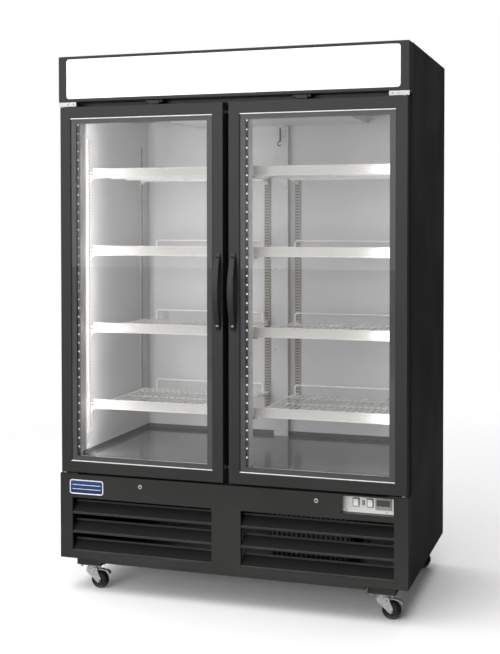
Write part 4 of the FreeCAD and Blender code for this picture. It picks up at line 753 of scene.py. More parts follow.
class MERCHANDISER_OT_front_frame(bpy.types.Operator):
    """Finishes the breaker frame, and builds the mullion's cover and its plugs"""
    bl_idname = "merchandiser.front_frame"
    bl_label = "Breaker frame"

    def execute(self, context):
        keep_node("front_frame", "extruded_vinyl", 1.0)

        def ribs(bm):
            low, top = OPENING_FOOT + 1, OPENING_HEAD
            block(bm, (-21, 60.4, low), (21, 61.95, top), soft=0.7)
            for x in (-21, 19):
                block(bm, (x, 59.8, low), (x + 2, 61.9, top), soft=0.6)

        piece("mullion_cover", "cabinet", [("extruded_vinyl_dark", ribs)])

        def plugs(bm):
            for level in (420, 1055, 1690):
                turned(bm, [(5, 0), (4.6, 0.6), (3.2, 0.9)], at(0, 60.6, level), (0, -1, 0),
                       steps=16)

        piece("mullion_plugs", "cabinet", [("moulded_rubber", plugs)])
        return {"FINISHED"}


class MERCHANDISER_OT_light_bars(bpy.types.Operator):
    """Builds the upright light bars with their rows of emitters, and the lamps' own light"""
    bl_idname = "merchandiser.light_bars"
    bl_label = "Light bars"

    def execute(self, context):
        lamps = context.scene.merchandiser_lamps
        low, top = OPENING_FOOT + 22, OPENING_HEAD - 13
        bars = [on_side(side, *pair) for side, _ in SIDES for pair in ((59, 70), (627, 638))]
        bay = 345  # middle of a bay

        def boards(bm):
            for a, b in bars:
                block(bm, (a, 59.6, low), (b, 61.9, top), soft=0.5)
            block(bm, (-613, 36, 1936), (613, 48, 1949), soft=1)

        def covers(bm):
            for side, _ in SIDES:
                near, far = on_side(side, 60.2, 61.6)
                block(bm, (near, 66, low), (far, 110, top), soft=0.5)

        def dots(bm):
            step = (top - low) / lamps.dots
            for a, b in bars:
                middle = (a + b) / 2
                for k in range(lamps.dots):
                    z = low + step * (k + 0.5)
                    block(bm, (middle - 2.6, 58.6, z - 2.6), (middle + 2.6, 59.8, z + 2.6), soft=0.5)

        piece("upright_light_bars", "cabinet", [
            ("white_lamp_board", boards), ("lamp_emitter", dots), ("frosted_lamp_cover", covers),
        ], ("led_strips",))

        def ends(bm):
            for a, b in bars:
                for z in (low - 9, top):
                    block(bm, (a - 0.5, 57.5, z), (b + 0.5, 61.9, z + 9), soft=1.2)

        piece("light_bar_ends", "cabinet", [("moulded_white_plastic", ends)])
        for index, (a, b) in enumerate(bars):
            middle = math.copysign(bay, a + b)
            clear = 40 if abs(a) > bay else 0  # keeps the outer lamps off the front standards
            across = (a + b) / 2 + math.copysign(clear, middle - (a + b) / 2)
            power = lamps.inside * (1.0 if middle < 0 else lamps.right_share)
            add_area(f"bar_light_{index}", at(across, 90, (low + top) / 2),
                     at(middle, 560, (low + top) / 2), (0.012, (top - low) * MM), power)
        return {"FINISHED"}


# ---- base ----------------------------------------------------------------------------------------


class MERCHANDISER_OT_base(bpy.types.Operator):
    """Finishes the base panel, and builds its louver blades, name plate and screws"""
    bl_idname = "merchandiser.base"
    bl_label = "Base panel"

    def execute(self, context):
        keep_node("base_panel", "powder_coated_steel", 0.6)

        opening_foot, opening_head = 25, 239
        # One blade across its run: a front lip, a slanted face and a rear lip.
        shapes = {
            "face": [(3.9, 9.4), (34.2, 42.5), (35.6, 41.6), (5.1, 8.6)],
            "lips": [(2.1, 0), (1.7, 1.2), (1.7, 6.5), (2.3, 8.3), (3.9, 9.6), (5.1, 8.6), (3.6, 7.2),
                     (3.4, 6.0), (3.4, 1.2), (3.0, 0)],
            "rear": [(33.6, 41.6), (32.4, 43.4), (32.4, 49.0), (33.0, 50.0), (35.7, 50.0),
                     (35.8, 41.6)],
        }

        def blades(bm, *kinds):
            for side, _ in SIDES:
                near, far = on_side(side, 58.1, 633.9)
                for level in range(3):
                    foot = opening_foot + 74.5 * level
                    for kind in kinds:
                        prism(bm, [(y, z + foot) for y, z in shapes[kind]], "x", near, far)

        piece("louver_fins", "cabinet", [
            ("powder_coated_blade", lambda bm: blades(bm, "lips", "rear")),
            # The slanted faces take the dark copy of the coat: painted shade.
            ("powder_coated_blade_face_painted_shade", lambda bm: blades(bm, "face")),
        ], ("louver_blades",), crease=30)

        def rail(bm):
            block(bm, (-531, 2, -11), (531, 24, 0.4), soft=1.2)

        piece("front_rail", "cabinet", [("powder_coated_steel", rail)])

        def frame_edges(bm):
            for side, _ in SIDES:
                near, far = on_side(side, 57, 635)
                ring(bm, (near - 0.2, far + 0.2), (opening_foot - 0.2, opening_head + 0.2),
                     [(0, 1.6), (0, 14), (1.2, 14), (1.2, 1.6)])

        piece("louver_opening_returns", "cabinet", [("powder_coated_steel", frame_edges)])
        left, right, low, top = -645, -502, 253, 309

        def border(bm):
            ring(bm, (left, right), (low, top),
                 [(0, -0.05), (0, -1.2), (0.5, -1.8), (1.4, -2.0), (3.4, -1.8), (4.2, -1.1),
                  (4.2, -0.05)], radius=10, steps=6)

        def field(bm):
            pad(bm, (left + 4, right - 4), (low + 4, top - 4),
                [(0, -0.05), (0, -0.9), (0.4, -1.15)], radius=6.0, steps=6)

        def bands(bm):
            for z in (low + 19, low + 35):
                block(bm, (left + 12, -1.35, z), (right - 12, -1.1, z + 2.2), soft=0.1)

        piece("name_plate_blank", "cabinet", [
            ("bright_aluminium_bead", border), ("stove_enamel_badge", field),
            ("bright_aluminium_bead", bands),
        ], ("name_plate",), crease=50)
        heads = [at(x, -0.05, 14) for x in (-672, -30, 30, 672, -350, 350)]
        screws("base_screws", "cabinet", heads, (0, -1, 0), 3.2, "powder_coated_steel")
        return {"FINISHED"}


class MERCHANDISER_OT_controls(bpy.types.Operator):
    """Builds the control plate with its controller, lamp and rocker switches"""
    bl_idname = "merchandiser.controls"
    bl_label = "Controls"

    def execute(self, context):
        face = 32  # the recess's back, where the plate lies

        def plate(bm):
            ring(bm, (439.6, 632.4), (260.6, 322.4),
                 [(0, 33.9), (0, face - 3.4), (0.6, face - 4), (2.2, face - 4), (3, face - 3.2),
                  (3, 33.9)], radius=2.5, steps=3)
            # The plate's field in upright strips, with a window in each strip behind a switch.
            field_low, field_top = 263.4, 319.6
            window_low, window_top = SWITCH_Z - 13.6, SWITCH_Z + 13.6
            edges = [442.4] + [x + reach for _, x in SWITCHES for reach in (-10, 10)] + [629.6]
            for index, (left, right) in enumerate(zip(edges, edges[1:])):
                spans = [(field_low, field_top)]
                if index % 2:
                    spans = [(field_low, window_low), (window_top, field_top)]
                for low, top in spans:
                    block(bm, (left, face, low), (right, 33.8, top))

        def case(bm):
            pad(bm, (560, 620), (275, 315), [(0, face), (0, face - 3.6), (0.6, face - 4.6),
                                             (1.8, face - 5)], radius=3, steps=4)
            for k in range(4):
                x = 566 + 14 * k
                turned(bm, [(3.6, 0), (3.6, 0.8), (2.8, 1.3), (1.0, 1.4)], at(x + 3, face - 5, 281),
                       (0, -1, 0), steps=16)

        def window(bm):
            pad(bm, (565, 615), (288, 311), [(0, face - 4.9), (0, face - 5.3), (0.5, face - 5.5)],
                radius=1.5, steps=3)

        def lamp(bm):
            pad(bm, (511.5, 520.5), (288, 306), [(0, face), (0, face - 3), (0.8, face - 4.4),
                                                 (2.6, face - 5)], radius=2, steps=4)

        def bezels(bm):
            for _, x in SWITCHES:
                ring(bm, (x - 12.3, x + 12.3), (SWITCH_Z - 16, SWITCH_Z + 16),
                     [(0, face), (0, face - 1.2), (0.6, face - 1.8), (2.0, face - 1.8),
                      (2.5, face - 1.2), (2.5, face)], radius=2, steps=3)

        piece("control_panel", "cabinet", [
            ("sprayed_enamel_plate", plate), ("moulded_grey_case", case),
            ("smoked_acrylic", window), ("tinted_lens", lamp), ("moulded_abs", bezels),
        ], ("control_plate",))
        screws("control_panel_screws", "cabinet",
               [at(x, face, z) for z in (317, 267) for x in (455, 602)], (0, -1, 0), 2.4)

        for name, x in SWITCHES:
            def rocker(bm, x=x):
                outline = [(29.9, -12.8), (31.2, -12.0), (31.2, 11.5), (29.8, 12.8), (25.6, 12.8),
                           (24.9, 12.2), (26.6, 5), (28.0, 0), (28.0, -5), (27.2, -12.2),
                           (27.8, -12.8)]
                prism(bm, [(y, SWITCH_Z + z) for y, z in outline], "x", x - 9.3, x + 9.3)

            def marks(bm, x=x):
                block(bm, (x - 0.7, 25.9, SWITCH_Z + 6.5), (x + 0.7, 26.3, SWITCH_Z + 11.5),
                      soft=0.1)
                turned(bm, [(2.4, 0), (2.4, 0.3), (1.6, 0.3), (1.6, 0)],
                       at(x, 27.9, SWITCH_Z - 8.5), (0, -1, 0), steps=20, closed=True)

            piece(f"{name}_rocker", f"{name}_rocker", [("moulded_white_plastic", rocker),
                                                       ("moulded_grey_case", marks)], (name,),
                  crease=25)

        def bezel_rings(bm):
            for side, _ in SIDES:
                turned(bm, [(5.95, 6), (5.95, -1.0), (6.3, -1.4), (7.2, -1.5), (8.2, -1.2),
                            (8.5, -0.6), (8.5, 6)], at(side * LOCK_X, 0, LOCK_Z), (0, 1, 0),
                       steps=36, closed=True)

        piece("lock_rings", "cabinet", [("chrome_plate", bezel_rings)], ("lock_bezels",))
        for side, hand in SIDES:
            x = side * LOCK_X

            def plug(bm, x=x):
                turned(bm, [(5.6, 18), (5.6, -0.7), (5.1, -1.2), (3.9, -1.2)], at(x, 0, LOCK_Z),
                       (0, 1, 0), steps=32)

            def keyway(bm, x=x):
                block(bm, (x - 0.9, -1.4, LOCK_Z - 3.4), (x + 0.9, -1.15, LOCK_Z + 3.4), soft=0.1)
                turned(bm, [(2.9, 1.15), (2.9, 1.4), (2.4, 1.45)], at(x, 0, LOCK_Z), (0, -1, 0),
                       steps=20)

            piece(f"{hand}_lock_barrel", f"{hand}_lock", [("chrome_plate", plug),
                                                          ("shadow_in_recess", keyway)],
                  (f"{hand}_lock_plug",))
        return {"FINISHED"}


# ---- doors ---------------------------------------------------------------------------------------


def door_ring(side, hand, door):
    """One door's frame, trim, glass and gasket."""
    x = on_side(side, 11, 680)
    z = (DOOR_FOOT, DOOR_HEAD)
    body = f"{hand}_door"
    rebate = 32  # the frame's outer edge to the glass's edge
    sight = 44  # the frame's outer edge to its inner edge
    wide = sight + door.border / MM

    def extrusions(bm):
        ring(bm, x, z, [(0, 46), (0, 2.2), (0.4, 0.9), (1.2, 0.2), (2.4, 0), (39.5, 0), (41.5, 0.5),
                        (43.2, 1.4), (44, 2.6), (44, 3), (31.5, 3), (31.5, 31.2), (44, 31.2),
                        (44, 44), (42, 46)])

    piece(f"{hand}_door_extrusions", body, [("powder_coated_door", extrusions)],
          (f"{hand}_door_frame",), crease=25)

    bead_high = door.bead / MM
    bead_foot, bead_head = z[0] + sight - 0.4, z[1] - sight + 0.4

    def bead(bm):
        for low, top in ((bead_foot, bead_foot + bead_high), (bead_head - bead_high, bead_head)):
            block(bm, (x[0] + sight - 1, 0.6, low), (x[1] - sight + 1, 3.1, top), soft=0.8)

    piece(f"{hand}_glass_bead", body, [("bright_aluminium_bead", bead)])

    def panes(bm):
        for near, far in ((3.05, 6.95), (27.05, 30.95)):
            pad(bm, (x[0] + rebate, x[1] - rebate), (z[0] + rebate, z[1] - rebate),
                [(0.6, near), (0, near + 0.6), (0, far - 0.6), (0.6, far)])

    def border(bm):
        edge = rebate + 0.2
        ring(bm, x, z, [(edge, 7.0), (edge, 7.35), (wide, 7.35), (wide, 7.0)])
        ring(bm, x, z, [(edge, 26.65), (edge, 27.0), (wide - 4, 27.0), (wide - 4, 26.65)])

    def sealant(bm):
        ring(bm, x, z, [(wide - 3.4, 7.3), (wide - 3.4, 7.6), (wide, 7.6), (wide, 7.3)])

    def spacer(bm):
        ring(bm, x, z, [(46, 7.4), (46, 26.6), (52, 26.6), (52, 7.4)])

    piece(f"{hand}_sealed_unit", body, [("clear_float_glass", panes)], (f"{hand}_door_glass",))
    piece(f"{hand}_glass_border", body, [
        ("fired_ceramic_print", border), ("moulded_rubber", sealant),
        ("bright_aluminium_bead", spacer),
    ])

    def bellows(bm):
        ring(bm, x, z, [(16.5, 46), (14.2, 48.6), (16.8, 51.2), (14.0, 54.0), (16.0, 57.0),
                        (14.6, 59.4), (15.4, 61.4), (17, 61.7), (31, 61.7), (33, 61.0),
                        (33.4, 58.6), (31.6, 56.4), (33.8, 53.6), (31.4, 50.8), (33.6, 48.4),
                        (31.8, 46)], radius=16, steps=1)

    piece(f"{hand}_bellows", body, [("bellows_gasket", bellows)], (f"{hand}_door_gasket",),
          crease=60)


def door_handle(side, hand, door):
    """A bowed grip that is widest at its middle, with a plug at each foot."""
    low, top, reach = 905.0, 1200.0, 40.0
    middle, half = (low + top) / 2, (top - low) / 2
    centre = side * 30
    wide, narrow = door.grip_middle / MM, door.grip_end / MM
    steps = 44
    wall = 12.5  # thickness at the middle, from the face to the finger side
    foot = 30  # length of each solid foot

    def arc(z, out, reach_half):
        """How far a circular bow stands out at one height."""
        radius = (reach_half ** 2 + out ** 2) / (2 * out)
        away = min(abs(z - middle), reach_half)
        return math.sqrt(radius ** 2 - away ** 2) - (radius - out)

    def grip(bm):
        loops = []
        for k in range(steps + 1):
            z = middle - half * math.cos(math.pi * k / steps)
            share = abs(z - middle) / half
            w = (wide + (narrow - wide) * share ** 2) / 2
            outer = max(arc(z, reach, half), 2.5)
            inner = 0.05
            if abs(z - middle) < half - foot:
                inner = max(arc(z, reach - wall, half - foot), inner)
            r = min(4.0, w * 0.45, (outer - inner) * 0.45)
            flat = [(w, -inner - r), (w, -outer + r), (w - r * 0.3, -outer + r * 0.3),
                    (w - r, -outer), (-w + r, -outer), (-w + r * 0.3, -outer + r * 0.3),
                    (-w, -outer + r), (-w, -inner - r), (-w + r * 0.3, -inner - r * 0.3),
                    (-w + r, -inner), (w - r, -inner), (w - r * 0.3, -inner - r * 0.3)]
            loops.append([at(centre + across, depth, z) for across, depth in flat])
        loft(bm, loops, caps=True)

    def low_plug(bm):
        depth = arc(low + 22, reach, half)
        pad(bm, (centre - 5, centre + 5), (low + 17, low + 27),
            [(0, -depth + 2.4), (0, -depth - 0.4), (0.8, -depth - 0.9)], radius=2, steps=3)

    def top_plug(bm):
        depth = arc(top - 22, reach, half)
        pad(bm, (centre - 5.5, centre + 5.5), (top - 28, top - 16),
            [(0, -depth + 2.4), (0, -depth - 0.4), (0.8, -depth - 0.8)], radius=1, steps=3)

    piece(f"{hand}_grip", f"{hand}_door", [
        ("moulded_abs", grip), ("moulded_grey_case", low_plug), ("moulded_rubber", top_plug),
    ], (f"{hand}_handle",), crease=60)


class MERCHANDISER_OT_doors(bpy.types.Operator):
    """Builds both doors with their glass, trim, gaskets and handles"""
    bl_idname = "merchandiser.doors"
    bl_label = "Doors"

    def execute(self, context):
        door = context.scene.merchandiser_door
        for side, hand in SIDES:
            door_ring(side, hand, door)
            door_handle(side, hand, door)
        return {"FINISHED"}


class MERCHANDISER_OT_hinges(bpy.types.Operator):
    """Builds the bent hinge brackets and their pins"""
    bl_idname = "merchandiser.hinges"
    bl_label = "Hinges"

    def execute(self, context):
        def brackets(bm):
            for side, _ in SIDES:
                near, far = on_side(side, *HINGE_LEAF)
                leaf = [(2, -0.2), (2, -16), (3.2, -17.4), (4.6, -16), (4.6, -4), (6, -2.8),
                        (61.5, -2.8), (61.5, -0.2)]
                prism(bm, [(y, HEADER_FOOT + z) for y, z in leaf], "x", near, far)
                head_pin = [(5, -11.8), (5, 0.2), (8.5, 0.4), (8.5, 1.8), (6, 2.2), (6, 16)]
                turned(bm, head_pin, at(side * HINGE_X, HINGE_Y, DOOR_HEAD), (0, 0, 1), steps=28)
                foot_pin = [(8.5, -4), (8.5, -1), (5, -0.6), (5, 11)]
                turned(bm, foot_pin, at(side * HINGE_X, HINGE_Y, DOOR_FOOT), (0, 0, 1), steps=28)

        def lower_leaves(bm):
            for side, _ in SIDES:
                near, far = on_side(side, *HINGE_LEAF)
                block(bm, (near, 2, DOOR_FOOT - 7.9), (far, 61, DOOR_FOOT - 4), soft=0.9)

        piece("hinge_leaves", "cabinet", [
            ("chrome_plate", brackets), ("powder_coated_blade", lower_leaves),
        ], ("hinge_brackets",), crease=40)
        heads = [at(side * x, 2, HEADER_FOOT - 9) for side, _ in SIDES for x in (624, 646)]
        screws("hinge_screws", "cabinet", heads, (0, -1, 0), 3.0)
        return {"FINISHED"}


# ---- inside --------------------------------------------------------------------------------------


def upright(bm, low_corner, high_corner, facing, pitch, channel):
    """A roll-formed upright between two corners: a ladder of rungs over a channel."""
    spread = 1 if facing == "x" else 0
    run = 1 - spread
    if facing == "x":
        face = min((low_corner[0], high_corner[0]), key=abs)
    else:
        face = (min if facing == "-y" else max)(low_corner[1], high_corner[1])
    back = low_corner[run] + high_corner[run] - face
    inward = math.copysign(1.0, back - face)
    near, far = low_corner[spread], high_corner[spread]
    low, top = low_corner[2], high_corner[2]

    def slab(a, b, start, end, z0, z1, soft):
        first, second = [0, 0, z0], [0, 0, z1]
        first[run], second[run] = start, end
        first[spread], second[spread] = a, b
        block(bm, first, second, soft)

    if channel:
        slab(near + 2.8, far - 2.8, face + inward * 2.2, back, low, top, 0)
        return
    for a, b in ((near, near + 3), (far - 3, far)):
        slab(a, b, face, back, low, top, 0.5)
    for k in range(int((top - low) / pitch) + 1):
        z = low + k * pitch
        slab(near + 2.5, far - 2.5, face + inward * 0.2, face + inward * 2.4, z,
             min(z + pitch * 0.5, top), 0.4)


class MERCHANDISER_OT_standards(bpy.types.Operator):
    """Builds the slotted shelf standards"""
    bl_idname = "merchandiser.standards"
    bl_label = "Shelf standards"

    def execute(self, context):
        pitch = context.scene.merchandiser_shelf.rung / MM
        low, top, rear_top = LINER_FLOOR + 64, 1640, 1500

        def uprights(bm, channel=False):
            for side, _ in SIDES:
                a, b = on_side(side, 618, 626)
                for middle in (131, 650):
                    upright(bm, (a, middle - 10, low), (b, middle + 10, top), "x", pitch, channel)
                a, b = on_side(side, 56, 80)
                upright(bm, (a, 737, low), (b, 745, rear_top), "-y", pitch, channel)
                a, b = on_side(side, 40, 60)
                upright(bm, (a, 112, low), (b, 120, top), "+y", pitch, channel)

        piece("slotted_uprights", "cabinet", [
            ("roll_formed_standard", uprights),
            # The channel behind the rungs takes the darker copy: painted shade.
            ("roll_formed_channel_painted_shade", lambda bm: uprights(bm, channel=True)),
        ], ("shelf_standards",))
        heads = [at(side * 68, 741.2, z) for side, _ in SIDES for z in (484, 985, 1486)]
        screws("upright_screws", "cabinet", heads, (0, -1, 0), 3.4)
        return {"FINISHED"}


def shelf_wires(bm, side, top, sizes):
    """A welded deck: long wires on cross bars, with a rim and a rear fence."""
    near, far = 68.0, 606.0
    front, back = 136.0, 664.0
    thin, thick = sizes.wire / MM / 2, sizes.bar / MM / 2
    deck = top - 26
    step = sizes.pitch / MM
    count = int((far - near - 8) / step)
    start = near + (far - near - count * step) / 2
    for k in range(count + 1):
        x = side * (start + k * step)
        wire(bm, [at(x, front, deck - thin), at(x, back - 1, deck - thin)], thin, 6)
    for y in (159, 309, 459, 610, back - thick):
        wire(bm, [at(side * near, y, deck - 2 * thin - thick),
                  at(side * far, y, deck - 2 * thin - thick)], thick, 8)
    for x in (near, far):
        wire(bm, [at(side * x, front, deck - thick), at(side * x, back, deck - thick)], thick, 8)
    wire(bm, [at(side * x, front + 2, deck - thick - 1) for x in (near, far)], thick, 8)
    y = back - 2
    fence_end = 80 if side > 0 else 62
    fence = [at(side * fence_end, y, deck - 5), at(side * fence_end, y, deck + 39),
             at(side * 554, y, deck + 39), at(side * 554, y, deck - 5)]
    wire(bm, eased(fence, 12, 6), thick, 10)


def price_strip(bm, side, top):
    """The strip's white extrusion: a flat web between two rolled lips, its ends cut at a slant."""
    high = 39
    low = top - high
    outline = [(135, top), (131, top), (129.2, top - 0.6), (128.6, top - 2.2), (129.2, top - 3.8),
               (131.6, top - 4.6), (131.6, low + 5.2), (128.9, low + 4.4), (128.0, low + 2.4),
               (128.6, low + 0.7), (130.2, low), (135, low), (135, low + 3), (133.2, low + 3.4),
               (133.2, top - 3), (135, top - 2.6)]
    slant = 2.0
    loops = []
    for distance, lean in ((68.0, -slant), (601.0, slant)):
        loops.append([at(side * (distance + lean * (z - low) / high), y, z) for y, z in outline])
    loft(bm, loops, caps=True)


def card_channel(bm, side, top):
    """The warmer channel between the lips, where price cards go."""
    block(bm, (side * 69, 130.7, top - 33), (side * 600, 131.8, top - 5.2), soft=0.2)


def shelf_hooks(bm, side, top):
    """Clips that hook into the standards and carry the deck."""
    high = top - 26 - 8.4
    for y in (143, 650):
        clip = [(597, 0), (617.6, 0), (617.6, -13), (612.6, -13), (597, -4)]
        prism(bm, [(side * x, high + z) for x, z in clip], "y", y - 5.5, y + 5.5)
    for drop in (14, 27):
        near, far = on_side(side, 598, 617)
        block(bm, (near, 129.5, top - drop - 6), (far, 133.5, top - drop), soft=1)
    wire(bm, [at(side * 600, 134, high - 1), at(side * 613, 134, high - 16),
              at(side * 616, 134, high - 24)], 1.6, 8)
    a, b = on_side(side, 62, 74)
    prism(bm, [(654, high), (736.6, high), (736.6, high - 13), (728, high - 13), (654, high - 3)],
          "x", a, b)
    block(bm, (a - 1, 730, high - 15), (b + 1, 736.8, high + 3), soft=1)
    a, b = on_side(side, 44, 60)
    block(bm, (a, 120.4, high - 12), (b, 148, high - 1), soft=1)
    a, b = on_side(side, 58, 79)
    block(bm, (a, 137, high - 12), (b, 148, high - 1), soft=1)


class MERCHANDISER_OT_shelves(bpy.types.Operator):
    """Builds eight wire shelves with price strips, fences and hooks"""
    bl_idname = "merchandiser.shelves"
    bl_label = "Shelves"

    def execute(self, context):
        sizes = context.scene.merchandiser_shelf
        for side, hand in SIDES:
            for level in range(SHELF_LEVELS):
                name = f"{hand}_shelf_{level + 1}"
                top = FIRST_SHELF + SHELF_RISE * level
                piece(f"{name}_wires", name, [
                    ("epoxy_coated_wire", lambda bm, t=top, s=side: shelf_wires(bm, s, t, sizes)),
                ], (name,), crease=60)
                piece(f"{name}_price_strip", name, [
                    ("extruded_pvc", lambda bm, t=top, s=side: price_strip(bm, s, t)),
                    ("pvc_card_channel", lambda bm, t=top, s=side: card_channel(bm, s, t)),
                ], crease=30)
                piece(f"{name}_hooks", name, [
                    ("moulded_white_plastic", lambda bm, t=top, s=side: shelf_hooks(bm, s, t)),
                ])
        return {"FINISHED"}


class MERCHANDISER_OT_air_path(bpy.types.Operator):
    """Finishes the air duct and the evaporator's cover, coil, fan and thermostat bulb"""
    bl_idname = "merchandiser.air_path"
    bl_label = "Air path"

    def execute(self, context):
        keep_node("rear_air_duct", "prepainted_duct", 0.8)
        keep_node("evaporator_cover", "prepainted_duct", 0.8)
        keep_node("heat_exchangers", "stacked_aluminium_fins")
        keep_node("fan_motors", "dipped_enamel_shell", 1.2)
        keep_node("condenser_fan", "moulded_abs")
        keep_node("evaporator_fan", "moulded_abs")
        keep_node("sensor_bulb", "moulded_rubber")

        heads = [at(x, 719.9, z) for x in (-24, 24) for z in (410, 760, 1110, 1460, 1700)]
        screws("duct_screws", "cabinet", heads, (0, -1, 0), 2.8)
        heads = [at(x, y, 1725) for x in (-366, -120, 120, 366) for y in (415, 700)]
        screws("cover_screws", "cabinet", heads, (0, 0, -1), 3.0)

        def collar(bm):
            turned(bm, [(5.5, 0), (5.5, 7), (4.2, 8.5)], at(3, 700, 1725), (0, 0, -1), steps=20)
            block(bm, (-4, 702, 1672), (10, 719.6, 1680), soft=1.2)

        piece("bulb_grommet", "cabinet", [("moulded_white_plastic", collar)])
        return {"FINISHED"}


class MERCHANDISER_OT_machinery(bpy.types.Operator):
    """Finishes the machine space: compressor, pan, rear grille, inlet and copper lines"""
    bl_idname = "merchandiser.machinery"
    bl_label = "Machinery"

    def execute(self, context):
        keep_node("compressor", "dipped_enamel_shell", 1.5)
        keep_node("drain_pan", "galvanised_sheet", 0.6)
        keep_node("rear_grille", "powder_coated_blade", 0.4)
        keep_node("power_inlet", "moulded_abs", 0.8)

        def lines(bm):
            suction = [at(330, 470, 190), at(330, 470, 232), at(250, 560, 232), at(60, 640, 232),
                       at(60, 700, 232), at(60, 700, 326)]
            wire(bm, eased(suction, 26), 5, 12)
            discharge = [at(268, 430, 120), at(200, 430, 120), at(120, 300, 120), at(120, 130, 90),
                         at(138, 130, 90)]
            wire(bm, eased(discharge, 24), 4, 12)
            liquid = [at(138, 130, 230), at(110, 130, 230), at(90, 300, 200), at(60, 520, 200),
                      at(90, 690, 240), at(90, 690, 326)]
            wire(bm, eased(liquid, 24), 3, 12)

        piece("copper_lines", "cabinet", [("drawn_copper", lines)], crease=60)

        def box(bm):
            block(bm, (395, 380, 90), (450, 400, 160), soft=3)
            block(bm, (405, 400, 95), (440, 412, 150), soft=2)

        piece("starter_box", "cabinet", [("moulded_abs", box)])

        def shroud(bm):
            ring(bm, (192, 408), (44, 260), [(0, 161), (0, 182), (2, 184), (6, 184), (8, 182),
                                             (8, 161)], radius=104, steps=12)
            for x in (196, 404):
                block(bm, (x - 4, 161, 3), (x + 4, 180, 60), soft=1)

        piece("fan_shroud", "cabinet", [("powder_coated_blade", shroud)])
        heads = [at(x, 791.2, z) for x in (-660, -590, 590, 660) for z in (30, 300)]
        screws("rear_grille_screws", "cabinet", heads, (0, 1, 0), 3.0)
        return {"FINISHED"}


# ---- casters -------------------------------------------------------------------------------------


def floor_up(x, y, up):
    """A place across, behind the front plane and above the floor, in millimetres."""
    return at(x, y, FLOOR + up)


def caster_place(name):
    """A caster's swivel line, from its packed fork: across and behind the front plane."""
    low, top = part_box(f"{name}_caster_fork")
    middle = (low.y + top.y) / 2
    across = 582 if name.endswith("right") else -582
    return across, (middle - FRONT_Y) / MM


class MERCHANDISER_OT_casters(bpy.types.Operator):
    """Finishes the casters, and builds their mounting blocks, plates, bolts and caps"""
    bl_idname = "merchandiser.casters"
    bl_label = "Casters"

    def execute(self, context):
        names = [f"{end}_{hand}" for end in ("front", "rear") for hand in ("left", "right")]
        places = {name: caster_place(name) for name in names}

        plate_foot, plate_top = FLOOR + 93, FLOOR + 96.2
        axle_up = 34  # the axle above the floor
        trail = 30  # the axle behind the swivel line

        def blocks(bm):
            for x, y in places.values():
                block(bm, (x - 51.5, y - 40, plate_top), (x + 51.5, y + 40, -0.2), soft=2.0)

        def plates(bm):
            for x, y in places.values():
                block(bm, (x - 46, y - 32, plate_foot), (x + 46, y + 32, plate_top), soft=0.9)
                turned(bm, [(5, 70), (5, 93.2)], floor_up(x, y, 0), (0, 0, 1), steps=20)
                turned(bm, [(8, 70), (8, 75.4), (5, 75.6)], floor_up(x, y, 0), (0, 0, 1), steps=6)
                turned(bm, [(17, 93.2), (21.5, 92.9), (22.5, 92.9), (22.6, 93.2)],
                       floor_up(x, y, 0), (0, 0, 1), steps=32)

        def nuts(bm):
            for x, y in places.values():
                for across in (-37, 37):
                    for along in (-24, 24):
                        spot = floor_up(x + across, y + along, 93)
                        turned(bm, [(7.5, 0), (7.5, 1.0)], spot, (0, 0, -1), steps=24)
                        turned(bm, [(5.6, 1.0), (5.6, 5.2), (4.9, 5.8)], spot, (0, 0, -1), steps=6)
                        turned(bm, [(3.0, 5.6), (3.0, 8.4), (2.4, 9.0)], spot, (0, 0, -1), steps=14)

        piece("caster_mount_blocks", "cabinet", [("powder_coated_steel", blocks)],
              ("caster_mounts",))
        piece("caster_plates", "cabinet", [("zinc_plated_pressing", plates),
                                           ("zinc_plated_screw", nuts)])
        for name, (x, y) in places.items():
            keep_node(f"{name}_caster_fork", "zinc_plated_pressing", 0.7)
            keep_node(f"{name}_caster_wheel", "cast_polyurethane", 0.8)
            axle_x = x + trail

            def fork_trim(bm, x=x, y=y, axle_x=axle_x):
                turned(bm, [(22.1, 80.2), (23.4, 82), (23.4, 90.0), (22.0, 92.4), (14, 92.5),
                            (14, 80.2)], floor_up(x, y, 0), (0, 0, 1), steps=36, closed=True)
                for facing in (-1, 1):
                    spot = floor_up(axle_x, y + facing * 17.5, axle_up)
                    turned(bm, [(8.0, 0), (8.0, 1.2)], spot, (0, facing, 0), steps=24)
                    turned(bm, [(6.4, 1.2), (6.4, 5.4), (5.6, 6.0)], spot, (0, facing, 0), steps=6)

            piece(f"{name}_race_and_nuts", f"{name}_swivel", [("zinc_plated_screw", fork_trim)])

            def wheel_trim(bm, y=y, axle_x=axle_x):
                for facing in (-1, 1):
                    spot = floor_up(axle_x, y, axle_up)
                    turned(bm, [(11.2, 8.8), (11.2, 10.6), (12.2, 11.2), (21.6, 11.2), (22.6, 10.6),
                                (22.6, 8.8)], spot, (0, facing, 0), steps=40, closed=True)

            piece(f"{name}_wheel_cap", f"{name}_wheel", [("moulded_abs", wheel_trim)])
            if name.startswith("front"):
                keep_node(f"{name}_brake_pedal", "zinc_plated_pressing", 0.5)

                def treads(bm, y=y, axle_x=axle_x):
                    for k, drop in enumerate((0.0, 0.25, 1.4, 2.9)):
                        low = (axle_x + 7 * k - 1.2, y - 9, FLOOR + 75.2 - drop)
                        block(bm, low, (low[0] + 2.4, y + 9, low[2] + 1.8), soft=0.5)

                piece(f"{name}_pedal_treads", f"{name}_brake", [("zinc_plated_screw", treads)])
        return {"FINISHED"}


# ---- stage ---------------------------------------------------------------------------------------


